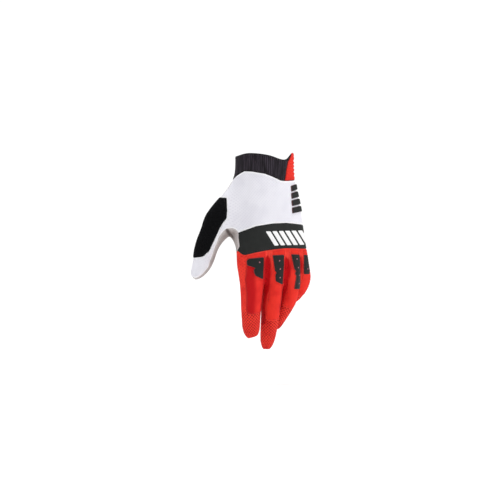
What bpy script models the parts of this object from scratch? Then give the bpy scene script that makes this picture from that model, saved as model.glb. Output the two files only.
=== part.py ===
"""Mountain bike glove for the left hand, in the shape it has when worn.

The origin is the centre of the cuff's mouth, where the wrist goes in. The fingers hang along -Z,
the back of the hand faces -Y and the thumb is on the -X side. Lengths are metres.

One cage of quads is smoothed into the whole skin of the glove. Seam lines are then drawn on that
skin as fields, one number for each vertex, which is zero on the seam. The skin is cut along both
edges of a narrow gap around each seam, and every panel is given its wall inwards.
"""

import math

import bmesh
import bpy
from mathutils import Vector

# Sizes that can be set one by one.
GLOVE_LENGTH = 0.2215  # mouth of the cuff to the tip of the middle finger
PALM_WIDTH = 0.092
PALM_DEPTH = 0.035
WRIST_WIDTH = 0.072
WRIST_DEPTH = 0.049
CLOTH = 0.0014  # wall of the sewn panels
SEAM_GAP = 0.00045  # space left between panels
GUARD_HEIGHT = 0.0013  # rubber above the cloth
GUARD_LIFT = 0.0004  # space between the rubber and the cloth

SKIN_LEVEL = 1
TUBE_FULLNESS = 1.085  # smoothing draws an eight-sided tube in by this much
SLANT = math.radians(30)  # seams are drawn on a plane that is turned towards the thumb

HALF_WIDTH = PALM_WIDTH / 2
HALF_DEPTH = PALM_DEPTH / 2

DORSAL = [f"D{i}" for i in range(11)]
PALMAR = [f"P{i}" for i in range(11)]
LOOPS = {
    "full": ["S"] + DORSAL + ["U"] + PALMAR[::-1],
    "hand": ["W2"] + DORSAL[2:] + ["U"] + PALMAR[:1:-1],
    "thumb": ["S", "D0", "D1", "D2", "W2", "P2", "P1", "P0"],
    "index": ["W2", "D2", "D3", "D4", "W4", "P4", "P3", "P2"],
    "middle": ["W4", "D4", "D5", "D6", "W6", "P6", "P5", "P4"],
    "ring": ["W6", "D6", "D7", "D8", "W8", "P8", "P7", "P6"],
    "little": ["W8", "D8", "D9", "D10", "U", "P10", "P9", "P8"],
}
REGIONS = ("hand", "thumb", "index", "middle", "ring", "little")
FINGERS = REGIONS[2:]

# drop: share of the glove's length; across, half_width: shares of half the palm's width (the first
# three rows: of half the wrist's); inward, half_depth: the same with the depths; turn: how far the
# columns have moved from the even spacing of the wrist to that of the knuckles; thenar: swelling
# of the palm at the root of the thumb, a share of half the palm's depth.
HAND_COLUMNS = ("drop", "across", "inward", "half_width", "half_depth", "turn", "thenar")
WRIST_ROWS = (
    (0.000, -0.01, 0.00, 1.00, 0.98, 0.0, 0.0),
    (0.050, -0.01, 0.00, 1.00, 1.00, 0.0, 0.0),
    (0.108, -0.01, 0.00, 1.01, 1.02, 0.0, 0.0),
)
HAND_ROWS = (
    (0.172, -0.01, 0.00, 0.82, 1.34, 0.2, 0.16),
    (0.244, 0.05, -0.03, 0.86, 1.24, 0.4, 0.28),
    (0.316, 0.08, -0.06, 0.91, 1.14, 0.6, 0.34),
    (0.382, 0.09, -0.11, 0.95, 1.07, 0.8, 0.28),
    (0.444, 0.12, -0.17, 0.97, 1.02, 0.9, 0.16),
    (0.506, 0.16, -0.17, 0.98, 0.99, 1.0, 0.00),
    (0.572, 0.20, -0.15, 1.02, 0.93, 1.0, 0.00),
)
WEB_ROW = 3  # the row of HAND_ROWS where the thumb parts from the hand
COLUMN_ANGLES = {  # degrees of columns 2 to 10, for the last rows and for all rows before them
    6: (-72, -43, -15, -2, 10, 24, 38, 55, 72),
    5: (-72, -42, -13, 0, 14, 28, 44, 58, 72),
    None: (-72, -41, -11, 2, 16, 31, 48, 60, 72),
}
SQUARENESS = 2.3
THENAR_SPREAD = {"P2": 1.0, "P3": 0.8, "P4": 0.45, "P5": 0.15}
VALLEYS = {5: 0.05, 6: 0.12}  # depth of the dips between the fingers, row: share of half the depth

# The sections of the thumb and the fingers: drop is a share of the glove's length, across and
# half_width are shares of half the palm's width, inward and half_depth of half its depth.
TUBE_COLUMNS = ("drop", "across", "inward", "half_width", "half_depth")
THUMB_ROOT = (
    (0.172, -0.63, 0.34, 0.27, 0.80),
    (0.244, -0.85, 0.69, 0.33, 0.91),
    (0.316, -1.10, 0.97, 0.35, 0.94),
    (0.382, -1.13, 1.20, 0.35, 0.92),
)
TUBES = {
    "thumb": (
        (0.451, -1.29, 1.43, 0.27, 0.80),
        (0.506, -1.34, 1.60, 0.27, 0.77),
        (0.564, -1.38, 1.77, 0.235, 0.68),
        (0.608, -1.50, 1.88, 0.175, 0.50),
        (0.631, -1.60, 1.93, 0.085, 0.28),
    ),
    "index": (
        (0.572, -0.43, -0.16, 0.28, 0.78),
        (0.632, -0.42, -0.11, 0.30, 0.77),
        (0.700, -0.370, 0.01, 0.280, 0.72),
        (0.770, -0.338, 0.24, 0.257, 0.66),
        (0.845, -0.285, 0.49, 0.237, 0.61),
        (0.904, -0.238, 0.665, 0.220, 0.54),
        (0.936, -0.195, 0.73, 0.13, 0.32),
    ),
    "middle": (
        (0.572, 0.18, -0.26, 0.22, 0.76),
        (0.632, 0.20, -0.20, 0.27, 0.73),
        (0.700, 0.225, 0.02, 0.24, 0.71),
        (0.770, 0.24, 0.34, 0.25, 0.68),
        (0.840, 0.305, 0.71, 0.222, 0.61),
        (0.912, 0.335, 1.045, 0.207, 0.56),
        (0.970, 0.320, 1.19, 0.17, 0.45),
        (0.999, 0.317, 1.26, 0.085, 0.23),
    ),
    "ring": (
        (0.572, 0.68, -0.15, 0.18, 0.72),
        (0.632, 0.72, -0.05, 0.24, 0.70),
        (0.694, 0.76, 0.20, 0.235, 0.66),
        (0.749, 0.768, 0.55, 0.22, 0.62),
        (0.801, 0.715, 1.01, 0.208, 0.58),
        (0.849, 0.655, 1.40, 0.185, 0.51),
        (0.895, 0.64, 1.71, 0.12, 0.33),
    ),
    "little": (
        (0.572, 1.10, 0.17, 0.15, 0.66),
        (0.632, 1.19, 0.44, 0.215, 0.60),
        (0.677, 1.21, 0.90, 0.195, 0.56),
        (0.718, 1.175, 1.46, 0.175, 0.52),
        (0.744, 1.155, 1.92, 0.125, 0.42),
    ),
}
CROTCH_DIP = 0.018  # the webs between the fingers reach this much below the row, share of the length
WEB_DIP = 0.040  # the same for the web of the thumb

# Seam lines. Points on the slanted plane are (across, drop), shares of half the palm's width and of
# the glove's length. Points round the wrist are (degrees from the back towards the little finger,
# drop).
CUFF_SEAM = (
    (-180, 0.126), (-130, 0.133), (-112, 0.135), (-83, 0.107), (-65, 0.090), (-46, 0.092),
    (-21, 0.103), (-3, 0.121), (12, 0.137), (22, 0.139), (68, 0.133), (120, 0.124), (180, 0.126),
)
CUFF_TOP = (  # (degrees, drop)
    (-180, 0.012), (-130, 0.014), (-91, 0.012), (-58, -0.003), (-40, -0.003), (-10, 0.007),
    (13, 0.030), (30, 0.030), (54, -0.020), (80, 0.024), (112, 0.036), (130, 0.030),
    (150, 0.020), (180, 0.012),
)
GUSSET_EDGE = ((-0.02, 54), (0.039, 32), (0.077, 26), (0.138, 21))  # (drop, degrees)
GUSSET_FAR_EDGE = 112  # degrees
WEB_OUTLINE = (  # the palm cloth that shows between the thumb and the index finger
    (-1.31, 0.530), (-1.22, 0.480), (-1.18, 0.454), (-1.10, 0.423), (-0.965, 0.386),
    (-0.88, 0.378), (-0.76, 0.387), (-0.66, 0.409), (-0.615, 0.490), (-0.57, 0.515),
)
SIDE_SEAM = (  # (drop, inward on the thumb side, inward on the little-finger side)
    (0.10, 0.45, 0.10), (0.172, 0.86, 0.10), (0.244, 1.26, 0.10), (0.316, 1.54, 0.10),
    (0.368, 1.66, 0.10), (0.40, -0.30, 0.10), (0.52, -0.30, 0.10),
)
BAND_TOP = ((-0.66, 0.402), (-0.215, 0.369), (0.21, 0.355), (0.54, 0.352), (0.92, 0.360))
BAND_BOTTOM = (
    (-0.75, 0.490), (-0.62, 0.500), (-0.52, 0.521), (-0.26, 0.504), (0.145, 0.489),
    (0.54, 0.480), (1.0, 0.4835),
)
THUMB_NAIL = -65  # degrees from the back towards the little finger
THUMB_CLOTH = 75  # degrees to each side of the nail that belong to the back
FINGER_CLOTH = 122  # degrees to each side of the finger's back that are red
BACK_CLOTH = 0.85  # share of the finger's half width that is the smooth back
BACK_ENDS = {"index": 0.806, "middle": 0.835, "ring": 0.765, "little": 0.70}  # drop
BACK_CORNER = 0.10  # round corner of the finger backs, share of half the palm's width
THUMB_PATCH = (
    (-1.10, 0.223), (-0.943, 0.226), (-0.929, 0.291), (-0.943, 0.330), (-1.022, 0.349),
    (-1.108, 0.379), (-1.243, 0.441), (-1.368, 0.496), (-1.523, 0.523), (-1.80, 0.529),
    (-1.80, 0.230), (-1.30, 0.215),
)
PADS = {
    "knuckle_guard_index": (
        (-0.454, 0.543), (-0.403, 0.535), (-0.042, 0.531), (-0.044, 0.552), (-0.056, 0.634),
        (-0.228, 0.617), (-0.255, 0.590), (-0.201, 0.579), (-0.442, 0.562),
    ),
    "knuckle_guard_middle": (
        (0.192, 0.518), (0.464, 0.517), (0.457, 0.561), (0.415, 0.663), (0.273, 0.645),
        (0.287, 0.602), (0.238, 0.561),
    ),
    "knuckle_guard_ring": (
        (0.651, 0.513), (0.823, 0.514), (0.862, 0.602), (0.870, 0.638), (0.830, 0.690),
        (0.720, 0.688), (0.764, 0.595), (0.730, 0.579),
    ),
    "knuckle_guard_little": (
        (0.970, 0.518), (1.04, 0.518), (1.10, 0.609), (0.970, 0.609),
    ),
    "hand_guard_1": ((0.64, 0.165), (0.76, 0.155), (0.78, 0.180), (0.65, 0.190)),
    "hand_guard_2": ((0.65, 0.202), (0.79, 0.192), (0.82, 0.217), (0.66, 0.227)),
    "hand_guard_3": ((0.66, 0.239), (0.83, 0.229), (0.86, 0.254), (0.67, 0.264)),
    "hand_guard_4": ((0.67, 0.276), (0.87, 0.266), (0.90, 0.291), (0.68, 0.301)),
}
PAD_CORNER = 0.018  # share of half the palm's width
OUTSIDE = 0.09  # how far from the band's seams the thumb counts, share of the length

COLOURS = {
    "cuff": (0.024, 0.019, 0.021, 1),
    "cuff_gusset": (0.60, 0.020, 0.018, 1),
    "back_panel": (0.78, 0.77, 0.82, 1),
    "thumb_patch": (0.008, 0.008, 0.009, 1),
    "palm_panel": (0.46, 0.41, 0.40, 1),
    "knuckle_band": (0.021, 0.023, 0.021, 1),
    "finger_back": (0.72, 0.035, 0.028, 1),
    "finger_sleeves": (0.66, 0.022, 0.022, 1),
    "guard": (0.024, 0.027, 0.026, 1),
}
ROUGHNESS = {"guard": 0.55, "palm_panel": 0.8}


def as_rows(columns, rows):
    """Each row of a table as a dictionary."""
    return [dict(zip(columns, row)) for row in rows]


def along_table(points, value, key=0, out=1):
    """The out column of a table at a value of its key column, straight between the points."""
    if value <= points[0][key]:
        return points[0][out]
    for low, high in zip(points, points[1:]):
        if value <= high[key]:
            share = (value - low[key]) / (high[key] - low[key])
            return low[out] + share * (high[out] - low[out])
    return points[-1][out]


def section_point(centre, side, back, half_width, half_depth, degrees, squareness=2.0):
    """A point of a rounded section; 0 degrees is its back and 90 its little-finger side."""
    angle = math.radians(degrees)
    s, c = math.sin(angle), math.cos(angle)
    power = 2 / squareness
    return (
        centre
        + side * half_width * math.copysign(abs(s) ** power, s)
        + back * half_depth * math.copysign(abs(c) ** power, c)
    )


ACROSS = Vector((1, 0, 0))
BACKWARD = Vector((0, -1, 0))


def tube_stations(rows):
    """Centre, side, back and half sizes of each section of a finger, square to its centre line."""
    rows = as_rows(TUBE_COLUMNS, rows)
    centres = [
        Vector((r["across"] * HALF_WIDTH, r["inward"] * HALF_DEPTH, -r["drop"] * GLOVE_LENGTH))
        for r in rows
    ]
    stations = []
    for i, row in enumerate(rows):
        before, after = centres[max(i - 1, 0)], centres[min(i + 1, len(rows) - 1)]
        along = (after - before).normalized()
        side = (ACROSS - along * along.dot(ACROSS)).normalized()
        stations.append({
            "centre": centres[i],
            "along": along,
            "side": side,
            "back": along.cross(side).normalized(),
            "half_width": row["half_width"] * HALF_WIDTH,
            "half_depth": row["half_depth"] * HALF_DEPTH,
        })
    return stations


STATIONS = {name: tube_stations(rows) for name, rows in TUBES.items()}


def station_point(station, degrees, fullness=TUBE_FULLNESS):
    return section_point(
        station["centre"], station["side"], station["back"],
        station["half_width"] * fullness, station["half_depth"] * fullness, degrees,
    )


def wrist_positions(row):
    """Even spacing round the cuff."""
    centre = Vector((
        row["across"] * WRIST_WIDTH / 2, row["inward"] * WRIST_DEPTH / 2,
        -row["drop"] * GLOVE_LENGTH,
    ))
    names = LOOPS["full"]
    places = {}
    for i, name in enumerate(names):
        degrees = -90 + 360 * i / len(names)
        places[name] = section_point(
            centre, ACROSS, BACKWARD, row["half_width"] * WRIST_WIDTH / 2,
            row["half_depth"] * WRIST_DEPTH / 2, degrees,
        )
        if row["drop"] == 0:
            turned = degrees if degrees <= 180 else degrees - 360
            places[name].z -= along_table(CUFF_TOP, turned) * GLOVE_LENGTH
    return places


def hand_positions(row, number):
    """One row of the hand: an oval section, with the root of the thumb where it has one."""
    centre = Vector((
        row["across"] * HALF_WIDTH, row["inward"] * HALF_DEPTH, -row["drop"] * GLOVE_LENGTH,
    ))
    half_width = row["half_width"] * HALF_WIDTH
    half_depth = row["half_depth"] * HALF_DEPTH
    turn = row["turn"]
    angles = {"W2": -90, "U": 90}
    turned = COLUMN_ANGLES.get(number, COLUMN_ANGLES[None])
    for i in range(2, 11):
        angle = (1 - turn) * (-75 + 15 * i) + turn * turned[i - 2]
        angles[f"D{i}"] = angle
        angles[f"P{i}"] = 180 - angle
    dip = VALLEYS.get(number, 0.0)
    places = {}
    for name, angle in angles.items():
        hollow = 1 - dip if name[1:] in ("4", "6", "8") else 1
        places[name] = section_point(
            centre, ACROSS, BACKWARD, half_width, half_depth * hollow, angle, SQUARENESS
        )
    for name, spread in THENAR_SPREAD.items():
        places[name].y += spread * row["thenar"] * HALF_DEPTH
    if number > WEB_ROW:
        return places
    root = thumb_root_station(number)
    for name, angle in (("S", -90), ("D0", -48), ("D1", -4), ("P1", 184), ("P0", 228)):
        places[name] = station_point(root, angle, 1.03)
    places["P2"] = (places["P1"] + places["P3"]) / 2
    places["P2"].y += 0.1 * HALF_DEPTH
    if number == WEB_ROW:
        middle = (places["D1"] + places["P1"]) / 2
        places["D2"] = places["D1"].lerp(places["D3"], 0.55)
        places["D2"].y += 0.35 * HALF_DEPTH
        places["W2"] = places["D2"].lerp(places["P2"], 0.5)
        places["W2"].x = (places["D2"].x + middle.x) / 2 + 0.12 * HALF_WIDTH
        places["W2"].z -= WEB_DIP * GLOVE_LENGTH
    else:
        del places["W2"]
    return places


def thumb_root_station(number):
    row = dict(zip(TUBE_COLUMNS, THUMB_ROOT[number]))
    return {
        "centre": Vector((
            row["across"] * HALF_WIDTH, row["inward"] * HALF_DEPTH, -row["drop"] * GLOVE_LENGTH,
        )),
        "side": ACROSS,
        "back": BACKWARD,
        "half_width": row["half_width"] * HALF_WIDTH,
        "half_depth": row["half_depth"] * HALF_DEPTH,
    }


def crotch_positions():
    """The row where the fingers part: each finger's own section, neighbours sharing an edge."""
    rows = {name: STATIONS[name][1] for name in FINGERS}
    places = {}
    for number, name in enumerate(FINGERS):
        first = 2 + 2 * number
        places[f"D{first + 1}"] = station_point(rows[name], 0, 1.03)
        places[f"P{first + 1}"] = station_point(rows[name], 180, 1.03)
    for number, (name, other) in enumerate(zip(FINGERS, FINGERS[1:])):
        column = 4 + 2 * number
        for letter, angle in (("D", 52), ("W", 90), ("P", 128)):
            near = station_point(rows[name], angle, 1.0)
            far = station_point(rows[other], -angle, 1.0)
            places[f"{letter}{column}"] = (near + far) / 2
        places[f"W{column}"].z -= CROTCH_DIP * GLOVE_LENGTH
    for name, finger, angle in (
        ("W2", "index", -90), ("D2", "index", -48), ("P2", "index", 228),
        ("U", "little", 90), ("D10", "little", 48), ("P10", "little", 132),
    ):
        places[name] = station_point(rows[finger], angle, 1.05)
    return places


def tube_positions(name, station):
    loop = LOOPS[name]
    return {vertex: station_point(station, -90 + 45 * i) for i, vertex in enumerate(loop)}


def join_rows(bm, upper, lower, loop, region):
    """Quads between two rows, along a closed loop of columns; normals face outwards."""
    for name, after in zip(loop, loop[1:] + loop[:1]):
        face = bm.faces.new((upper[name], lower[name], lower[after], upper[after]))
        face.material_index = region


def close_tip(bm, row, loop, region):
    """Two quads and two triangles over the end of a finger."""
    side, d0, d1, d2, other, p2, p1, p0 = (row[name] for name in loop)
    for corners in ((side, p0, d0), (d0, p0, p1, d1), (d1, p1, p2, d2), (d2, p2, other)):
        bm.faces.new(corners).material_index = region


def finger_of_face(name, after):
    """The finger that a face of the hand's last row leads to."""
    def column(vertex):
        if vertex in ("W2", "U"):
            return 2 if vertex == "W2" else 10
        return int(vertex[1:])
    middle = (column(name) + column(after)) / 2
    return REGIONS.index(FINGERS[min(int((middle - 2) // 2), 3)])


def build_cage():
    """The whole glove as one open cage; the region is kept as the face's material number."""
    bm = bmesh.new()

    def new_row(places, known=None):
        row = dict(known or {})
        for name, place in places.items():
            if name not in row:
                row[name] = bm.verts.new(place)
        return row

    last = None
    for row in as_rows(HAND_COLUMNS, WRIST_ROWS):
        here = new_row(wrist_positions(row))
        if last:
            join_rows(bm, last, here, LOOPS["full"], 0)
        last = here
    web = None
    for number, row in enumerate(as_rows(HAND_COLUMNS, HAND_ROWS)):
        here = new_row(hand_positions(row, number))
        if number <= WEB_ROW:
            join_rows(bm, last, here, LOOPS["full"], 0)
        elif number < len(HAND_ROWS) - 1:
            join_rows(bm, last, here, LOOPS["hand"], 0)
        else:
            join_fingers(bm, last, here)
        if number == WEB_ROW:
            web = here
        last = here
    crotch = new_row(crotch_positions())
    join_fingers(bm, last, crotch)
    for name in REGIONS[1:]:
        region = REGIONS.index(name)
        start, stations = (web, STATIONS[name]) if name == "thumb" else (crotch, STATIONS[name][2:])
        last = start
        for station in stations:
            here = new_row(tube_positions(name, station))
            join_rows(bm, last, here, LOOPS[name], region)
            last = here
        close_tip(bm, last, LOOPS[name], region)
    bmesh.ops.recalc_face_normals(bm, faces=bm.faces)
    return bm


def join_fingers(bm, upper, lower):
    loop = LOOPS["hand"]
    for name, after in zip(loop, loop[1:] + loop[:1]):
        face = bm.faces.new((upper[name], lower[name], lower[after], upper[after]))
        face.material_index = finger_of_face(name, after)


def slanted(point):
    """Where a point lies on the slanted plane, in shares: (across, drop)."""
    across = point.x * math.cos(SLANT) - point.y * math.sin(SLANT)
    return across / HALF_WIDTH, -point.z / GLOVE_LENGTH


def round_finger(point, name):
    """Angle round the finger in degrees, its radius, the drop, and the share to the side."""
    stations = STATIONS[name]
    best = None
    for low, high in zip(stations, stations[1:]):
        line = high["centre"] - low["centre"]
        share = max(0.0, min(1.0, (point - low["centre"]).dot(line) / line.length_squared))
        centre = low["centre"] + line * share
        distance = (point - centre).length
        if best is None or distance < best[0]:
            best = (distance, centre, low["side"].lerp(high["side"], share),
                    low["back"].lerp(high["back"], share),
                    low["half_width"] + share * (high["half_width"] - low["half_width"]))
    distance, centre, side, back, half_width = best
    offset = point - centre
    angle = math.degrees(math.atan2(offset.dot(side), offset.dot(back)))
    return angle, distance, -centre.z / GLOVE_LENGTH, offset.dot(side), half_width


def arc(degrees, radius):
    return math.radians(degrees) * radius


def wrist_angle(point):
    return math.degrees(math.atan2(point.x / WRIST_WIDTH, -point.y / WRIST_DEPTH))


def slope_distance(table, across, drop):
    """Signed distance below a line that is drawn on the slanted plane, positive under it."""
    step = 0.02
    there = along_table(table, across)
    rise = (along_table(table, across + step) - along_table(table, across - step)) * GLOVE_LENGTH
    run = 2 * step * HALF_WIDTH
    return (drop - there) * GLOVE_LENGTH * run / math.hypot(run, rise)


def cuff_field(point, region):
    seam = along_table(CUFF_SEAM, wrist_angle(point))
    return seam * GLOVE_LENGTH + point.z


def gusset_field(point, region):
    drop = -point.z / GLOVE_LENGTH
    angle = wrist_angle(point)
    near = angle - along_table(GUSSET_EDGE, drop)
    far = GUSSET_FAR_EDGE - angle
    return arc(min(near, far), WRIST_WIDTH * 0.45)


def palm_field(point, region):
    """Positive on the grey palm, the web, and the fronts of the thumb and fingers."""
    if region in FINGERS:
        angle, radius, *_ = round_finger(point, region)
        return arc(abs(angle) - FINGER_CLOTH, radius)
    if region == "thumb":
        angle, radius, *_ = round_finger(point, region)
        turned = (angle - THUMB_NAIL + 180) % 360 - 180
        return arc(abs(turned) - THUMB_CLOTH, radius)
    across, drop = slanted(point)
    share = max(0.0, min(1.0, (point.x / HALF_WIDTH + 1.15) / 0.8))
    thumb_side = along_table(SIDE_SEAM, drop, 0, 1)
    little_side = along_table(SIDE_SEAM, drop, 0, 2)
    front = point.y - (thumb_side + share * (little_side - thumb_side)) * HALF_DEPTH
    return max(front, outline_distance(WEB_OUTLINE, across, drop, 0.0))


def band_top_field(point, region):
    if region == "thumb":
        return -OUTSIDE * GLOVE_LENGTH
    return slope_distance(BAND_TOP, *slanted(point))


def band_bottom_field(point, region):
    if region == "thumb":
        return -OUTSIDE * GLOVE_LENGTH
    return slope_distance(BAND_BOTTOM, *slanted(point))


def nearest_finger(point):
    def reach(name):
        root = STATIONS[name][0]
        return abs(point.x - root["centre"].x) - root["half_width"]
    return min(FINGERS, key=reach)


def finger_back_field(point, region):
    """Positive on the smooth back of a finger, which ends in a round corner."""
    if region not in FINGERS:
        region = nearest_finger(point)
    angle, radius, drop, sideways, half_width = round_finger(point, region)
    corner = BACK_CORNER * HALF_WIDTH
    if abs(angle) > 85:
        return -abs(arc(abs(angle) - 60, radius))
    slope = max(math.cos(math.radians(angle)), 0.45)
    aside = (abs(sideways) - BACK_CLOTH * half_width) / slope + corner
    below = (drop - BACK_ENDS[region]) * GLOVE_LENGTH + corner
    if aside > 0 and below > 0:
        return corner - math.hypot(aside, below)
    return corner - max(aside, below)


def outline_distance(outline, across, drop, corner):
    """Signed distance to a rounded outline on the slanted plane, positive inside."""
    here = (across * HALF_WIDTH, -drop * GLOVE_LENGTH)
    points = [(a * HALF_WIDTH, -d * GLOVE_LENGTH) for a, d in outline]
    nearest = float("inf")
    inside = False
    for (x0, y0), (x1, y1) in zip(points, points[1:] + points[:1]):
        dx, dy = x1 - x0, y1 - y0
        share = ((here[0] - x0) * dx + (here[1] - y0) * dy) / (dx * dx + dy * dy)
        share = max(0.0, min(1.0, share))
        nearest = min(nearest, math.hypot(here[0] - x0 - share * dx, here[1] - y0 - share * dy))
        if (y0 > here[1]) != (y1 > here[1]):
            if here[0] < x0 + (here[1] - y0) * dx / dy:
                inside = not inside
    return (nearest if inside else -nearest) + corner


def patch_field(point, region):
    across, drop = slanted(point)
    return outline_distance(THUMB_PATCH, across, drop, 0.0)


FIELDS = {
    "cuff": cuff_field,
    "gusset": gusset_field,
    "palm": palm_field,
    "band_top": band_top_field,
    "band_bottom": band_bottom_field,
    "finger_back": finger_back_field,
    "patch": patch_field,
}


def smoothed(cage, name, finer=False):
    """A bmesh of the skin: the cage after its Subdivision Surface modifier, or its faces in four."""
    mesh = bpy.data.meshes.new(name)
    cage.to_mesh(mesh)
    holder = bpy.data.objects.new(name, mesh)
    bpy.context.scene.collection.objects.link(holder)
    smooth = holder.modifiers.new("skin", "SUBSURF")
    smooth.levels = SKIN_LEVEL
    smooth.render_levels = SKIN_LEVEL
    if finer:
        flat = holder.modifiers.new("finer", "SUBSURF")
        flat.subdivision_type = "SIMPLE"
        flat.levels = 1
        flat.render_levels = 1
    bpy.context.view_layer.update()
    evaluated = holder.evaluated_get(bpy.context.evaluated_depsgraph_get())
    bm = bmesh.new()
    bm.from_mesh(evaluated.to_mesh())
    evaluated.to_mesh_clear()
    bpy.data.objects.remove(holder)
    bpy.data.meshes.remove(mesh)
    bm.normal_update()
    return bm


def lay_fields(bm, fields):
    """Store the whole skin's normal and every field on the vertices."""
    normal = bm.verts.layers.float_vector.new("whole_normal")
    layers = {name: bm.verts.layers.float.new(name) for name in fields}
    for vert in bm.verts:
        vert[normal] = vert.normal
        regions = sorted({face.material_index for face in vert.link_faces})
        for name, field in fields.items():
            values = [field(vert.co, REGIONS[region]) for region in regions]
            vert[layers[name]] = sum(values) / len(values)
    return normal, layers


def cut_at(bm, faces, layer, level, layers, normal):
    """Split the faces along the line where the field has one value."""
    near = 1e-7
    edges = {edge for face in faces for edge in face.edges}
    for edge in sorted(edges, key=lambda e: e.index):
        a, b = edge.verts
        va, vb = a[layer] - level, b[layer] - level
        if va * vb >= 0 or min(abs(va), abs(vb)) < near:
            continue
        share = va / (va - vb)
        values = {l: a[l] + share * (b[l] - a[l]) for l in layers}
        direction = a[normal].lerp(b[normal], share).normalized()
        place = a.co.lerp(b.co, share)
        _, vert = bmesh.utils.edge_split(edge, a, share)
        vert.co = place
        vert[normal] = direction
        for l, value in values.items():
            vert[l] = value
        vert[layer] = level
    bm.verts.index_update()
    result = []
    for face in faces:
        pending = [face]
        while pending:
            part = pending.pop()
            ring = list(part.verts)
            signs = [0 if abs(v[layer] - level) < near * 2 else math.copysign(1, v[layer] - level)
                     for v in ring]
            if 1 not in signs or -1 not in signs:
                result.append(part)
                continue
            zeros = [i for i, s in enumerate(signs) if s == 0]
            pair = None
            for i in zeros:
                for j in zeros:
                    if j - i > 1 and not (i == 0 and j == len(ring) - 1):
                        between = {s for s in signs[i + 1:j]}
                        outside = {s for s in signs[j + 1:] + signs[:i]}
                        if between == {1} or between == {-1}:
                            if outside - {0} != between:
                                pair = (i, j)
            if pair is None:
                result.append(part)
                continue
            new, _ = bmesh.utils.face_split(part, ring[pair[0]], ring[pair[1]])
            pending += [part, new]
    bm.edges.index_update()
    bm.faces.index_update()
    return result


def part_by(bm, faces, name, layers, normal):
    """Two lists of faces, where the field is above and below zero, a seam's gap apart."""
    layer = layers[name]
    every = list(layers.values())
    faces = cut_at(bm, faces, layer, SEAM_GAP / 2, every, normal)
    faces = cut_at(bm, faces, layer, -SEAM_GAP / 2, every, normal)
    above, below, seam = [], [], []
    for face in faces:
        value = sum(v[layer] for v in face.verts) / len(face.verts)
        if value > SEAM_GAP / 2:
            above.append(face)
        elif value < -SEAM_GAP / 2:
            below.append(face)
        else:
            seam.append(face)
    bmesh.ops.delete(bm, geom=seam, context="FACES_ONLY")
    return above, below


def make_wall(name, faces, normal, inner, outer, colour):
    """A closed object between two distances from the skin."""
    faces = largest_piece(faces)
    mesh = bpy.data.meshes.new(name)
    bm = bmesh.new()
    pairs = {}
    for face in faces:
        for vert in face.verts:
            if vert not in pairs:
                direction = vert[normal]
                pairs[vert] = (
                    bm.verts.new(vert.co + direction * outer),
                    bm.verts.new(vert.co + direction * inner),
                )
    kept = set(faces)
    for face in faces:
        bm.faces.new([pairs[v][0] for v in face.verts])
        bm.faces.new([pairs[v][1] for v in reversed(face.verts)])
        for loop in face.loops:
            neighbours = [f for f in loop.edge.link_faces if f in kept]
            if len(neighbours) == 1:
                a, b = loop.vert, loop.link_loop_next.vert
                bm.faces.new((pairs[b][0], pairs[a][0], pairs[a][1], pairs[b][1]))
    bmesh.ops.recalc_face_normals(bm, faces=bm.faces)
    bmesh.ops.triangulate(bm, faces=bm.faces)
    for face in bm.faces:
        face.smooth = True
    bm.to_mesh(mesh)
    bm.free()
    made = bpy.data.objects.new(name, mesh)
    mesh.materials.append(colour)
    return made


def largest_piece(faces):
    """The biggest connected patch of the faces; crumbs beside a seam are left out."""
    waiting = dict.fromkeys(faces)
    best = []
    while waiting:
        start = next(iter(waiting))
        del waiting[start]
        piece, edge_of_piece = [start], [start]
        while edge_of_piece:
            face = edge_of_piece.pop()
            for edge in face.edges:
                for other in edge.link_faces:
                    if other in waiting:
                        del waiting[other]
                        piece.append(other)
                        edge_of_piece.append(other)
        if len(piece) > len(best):
            best = piece
    return best


def make_material(name, kind):
    material = bpy.data.materials.new(name)
    material.use_nodes = True
    shader = material.node_tree.nodes["Principled BSDF"]
    shader.inputs["Base Color"].default_value = COLOURS[kind]
    shader.inputs["Roughness"].default_value = ROUGHNESS.get(kind, 0.9)
    return material


def sew_panels(cage):
    """Cut the skin along its seams: a dictionary of panel name to faces."""
    bm = smoothed(cage, "skin")
    normal, layers = lay_fields(bm, FIELDS)
    bm.edges.index_update()
    tools = (layers, normal)
    panels = {}
    wrist, hand = part_by(bm, list(bm.faces), "cuff", *tools)
    panels["cuff_gusset"], panels["cuff"] = part_by(bm, wrist, "gusset", *tools)
    panels["palm_panel"], red_and_white = part_by(bm, hand, "palm", *tools)
    lower, upper = part_by(bm, red_and_white, "band_top", *tools)
    fingers, panels["knuckle_band"] = part_by(bm, lower, "band_bottom", *tools)
    panels["thumb_patch"], panels["back_panel"] = part_by(bm, upper, "patch", *tools)
    backs, panels["finger_sleeves"] = part_by(bm, fingers, "finger_back", *tools)
    for name in FINGERS:
        panels[f"finger_back_{name}"] = []
    for face in backs:
        region = REGIONS[face.material_index]
        name = region if region in FINGERS else nearest_finger(face.calc_center_median())
        panels[f"finger_back_{name}"].append(face)
    return bm, normal, panels


def mould_pads(cage):
    """The rubber pads: pieces of the same skin, finer, standing off from the cloth."""
    bm = smoothed(cage, "guards", finer=True)
    facing = Vector((-math.sin(SLANT), -math.cos(SLANT), 0))
    behind = [f for f in bm.faces if f.normal.dot(facing) < 0.02]
    bmesh.ops.delete(bm, geom=behind, context="FACES")
    corner = PAD_CORNER * HALF_WIDTH

    def field(name):
        return lambda point, region: outline_distance(PADS[name], *slanted(point), corner)

    normal, layers = lay_fields(bm, {name: field(name) for name in PADS})
    bm.edges.index_update()
    pads = {}
    rest = list(bm.faces)
    for name in PADS:
        region = name.rsplit("_", 1)[1]
        allowed = {REGIONS.index(region)} if region in FINGERS else {0}
        mine = [f for f in rest if f.material_index in allowed]
        others = [f for f in rest if f.material_index not in allowed]
        pads[name], outside = part_by(bm, mine, name, layers, normal)
        rest = outside + others
    return bm, normal, pads


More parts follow.
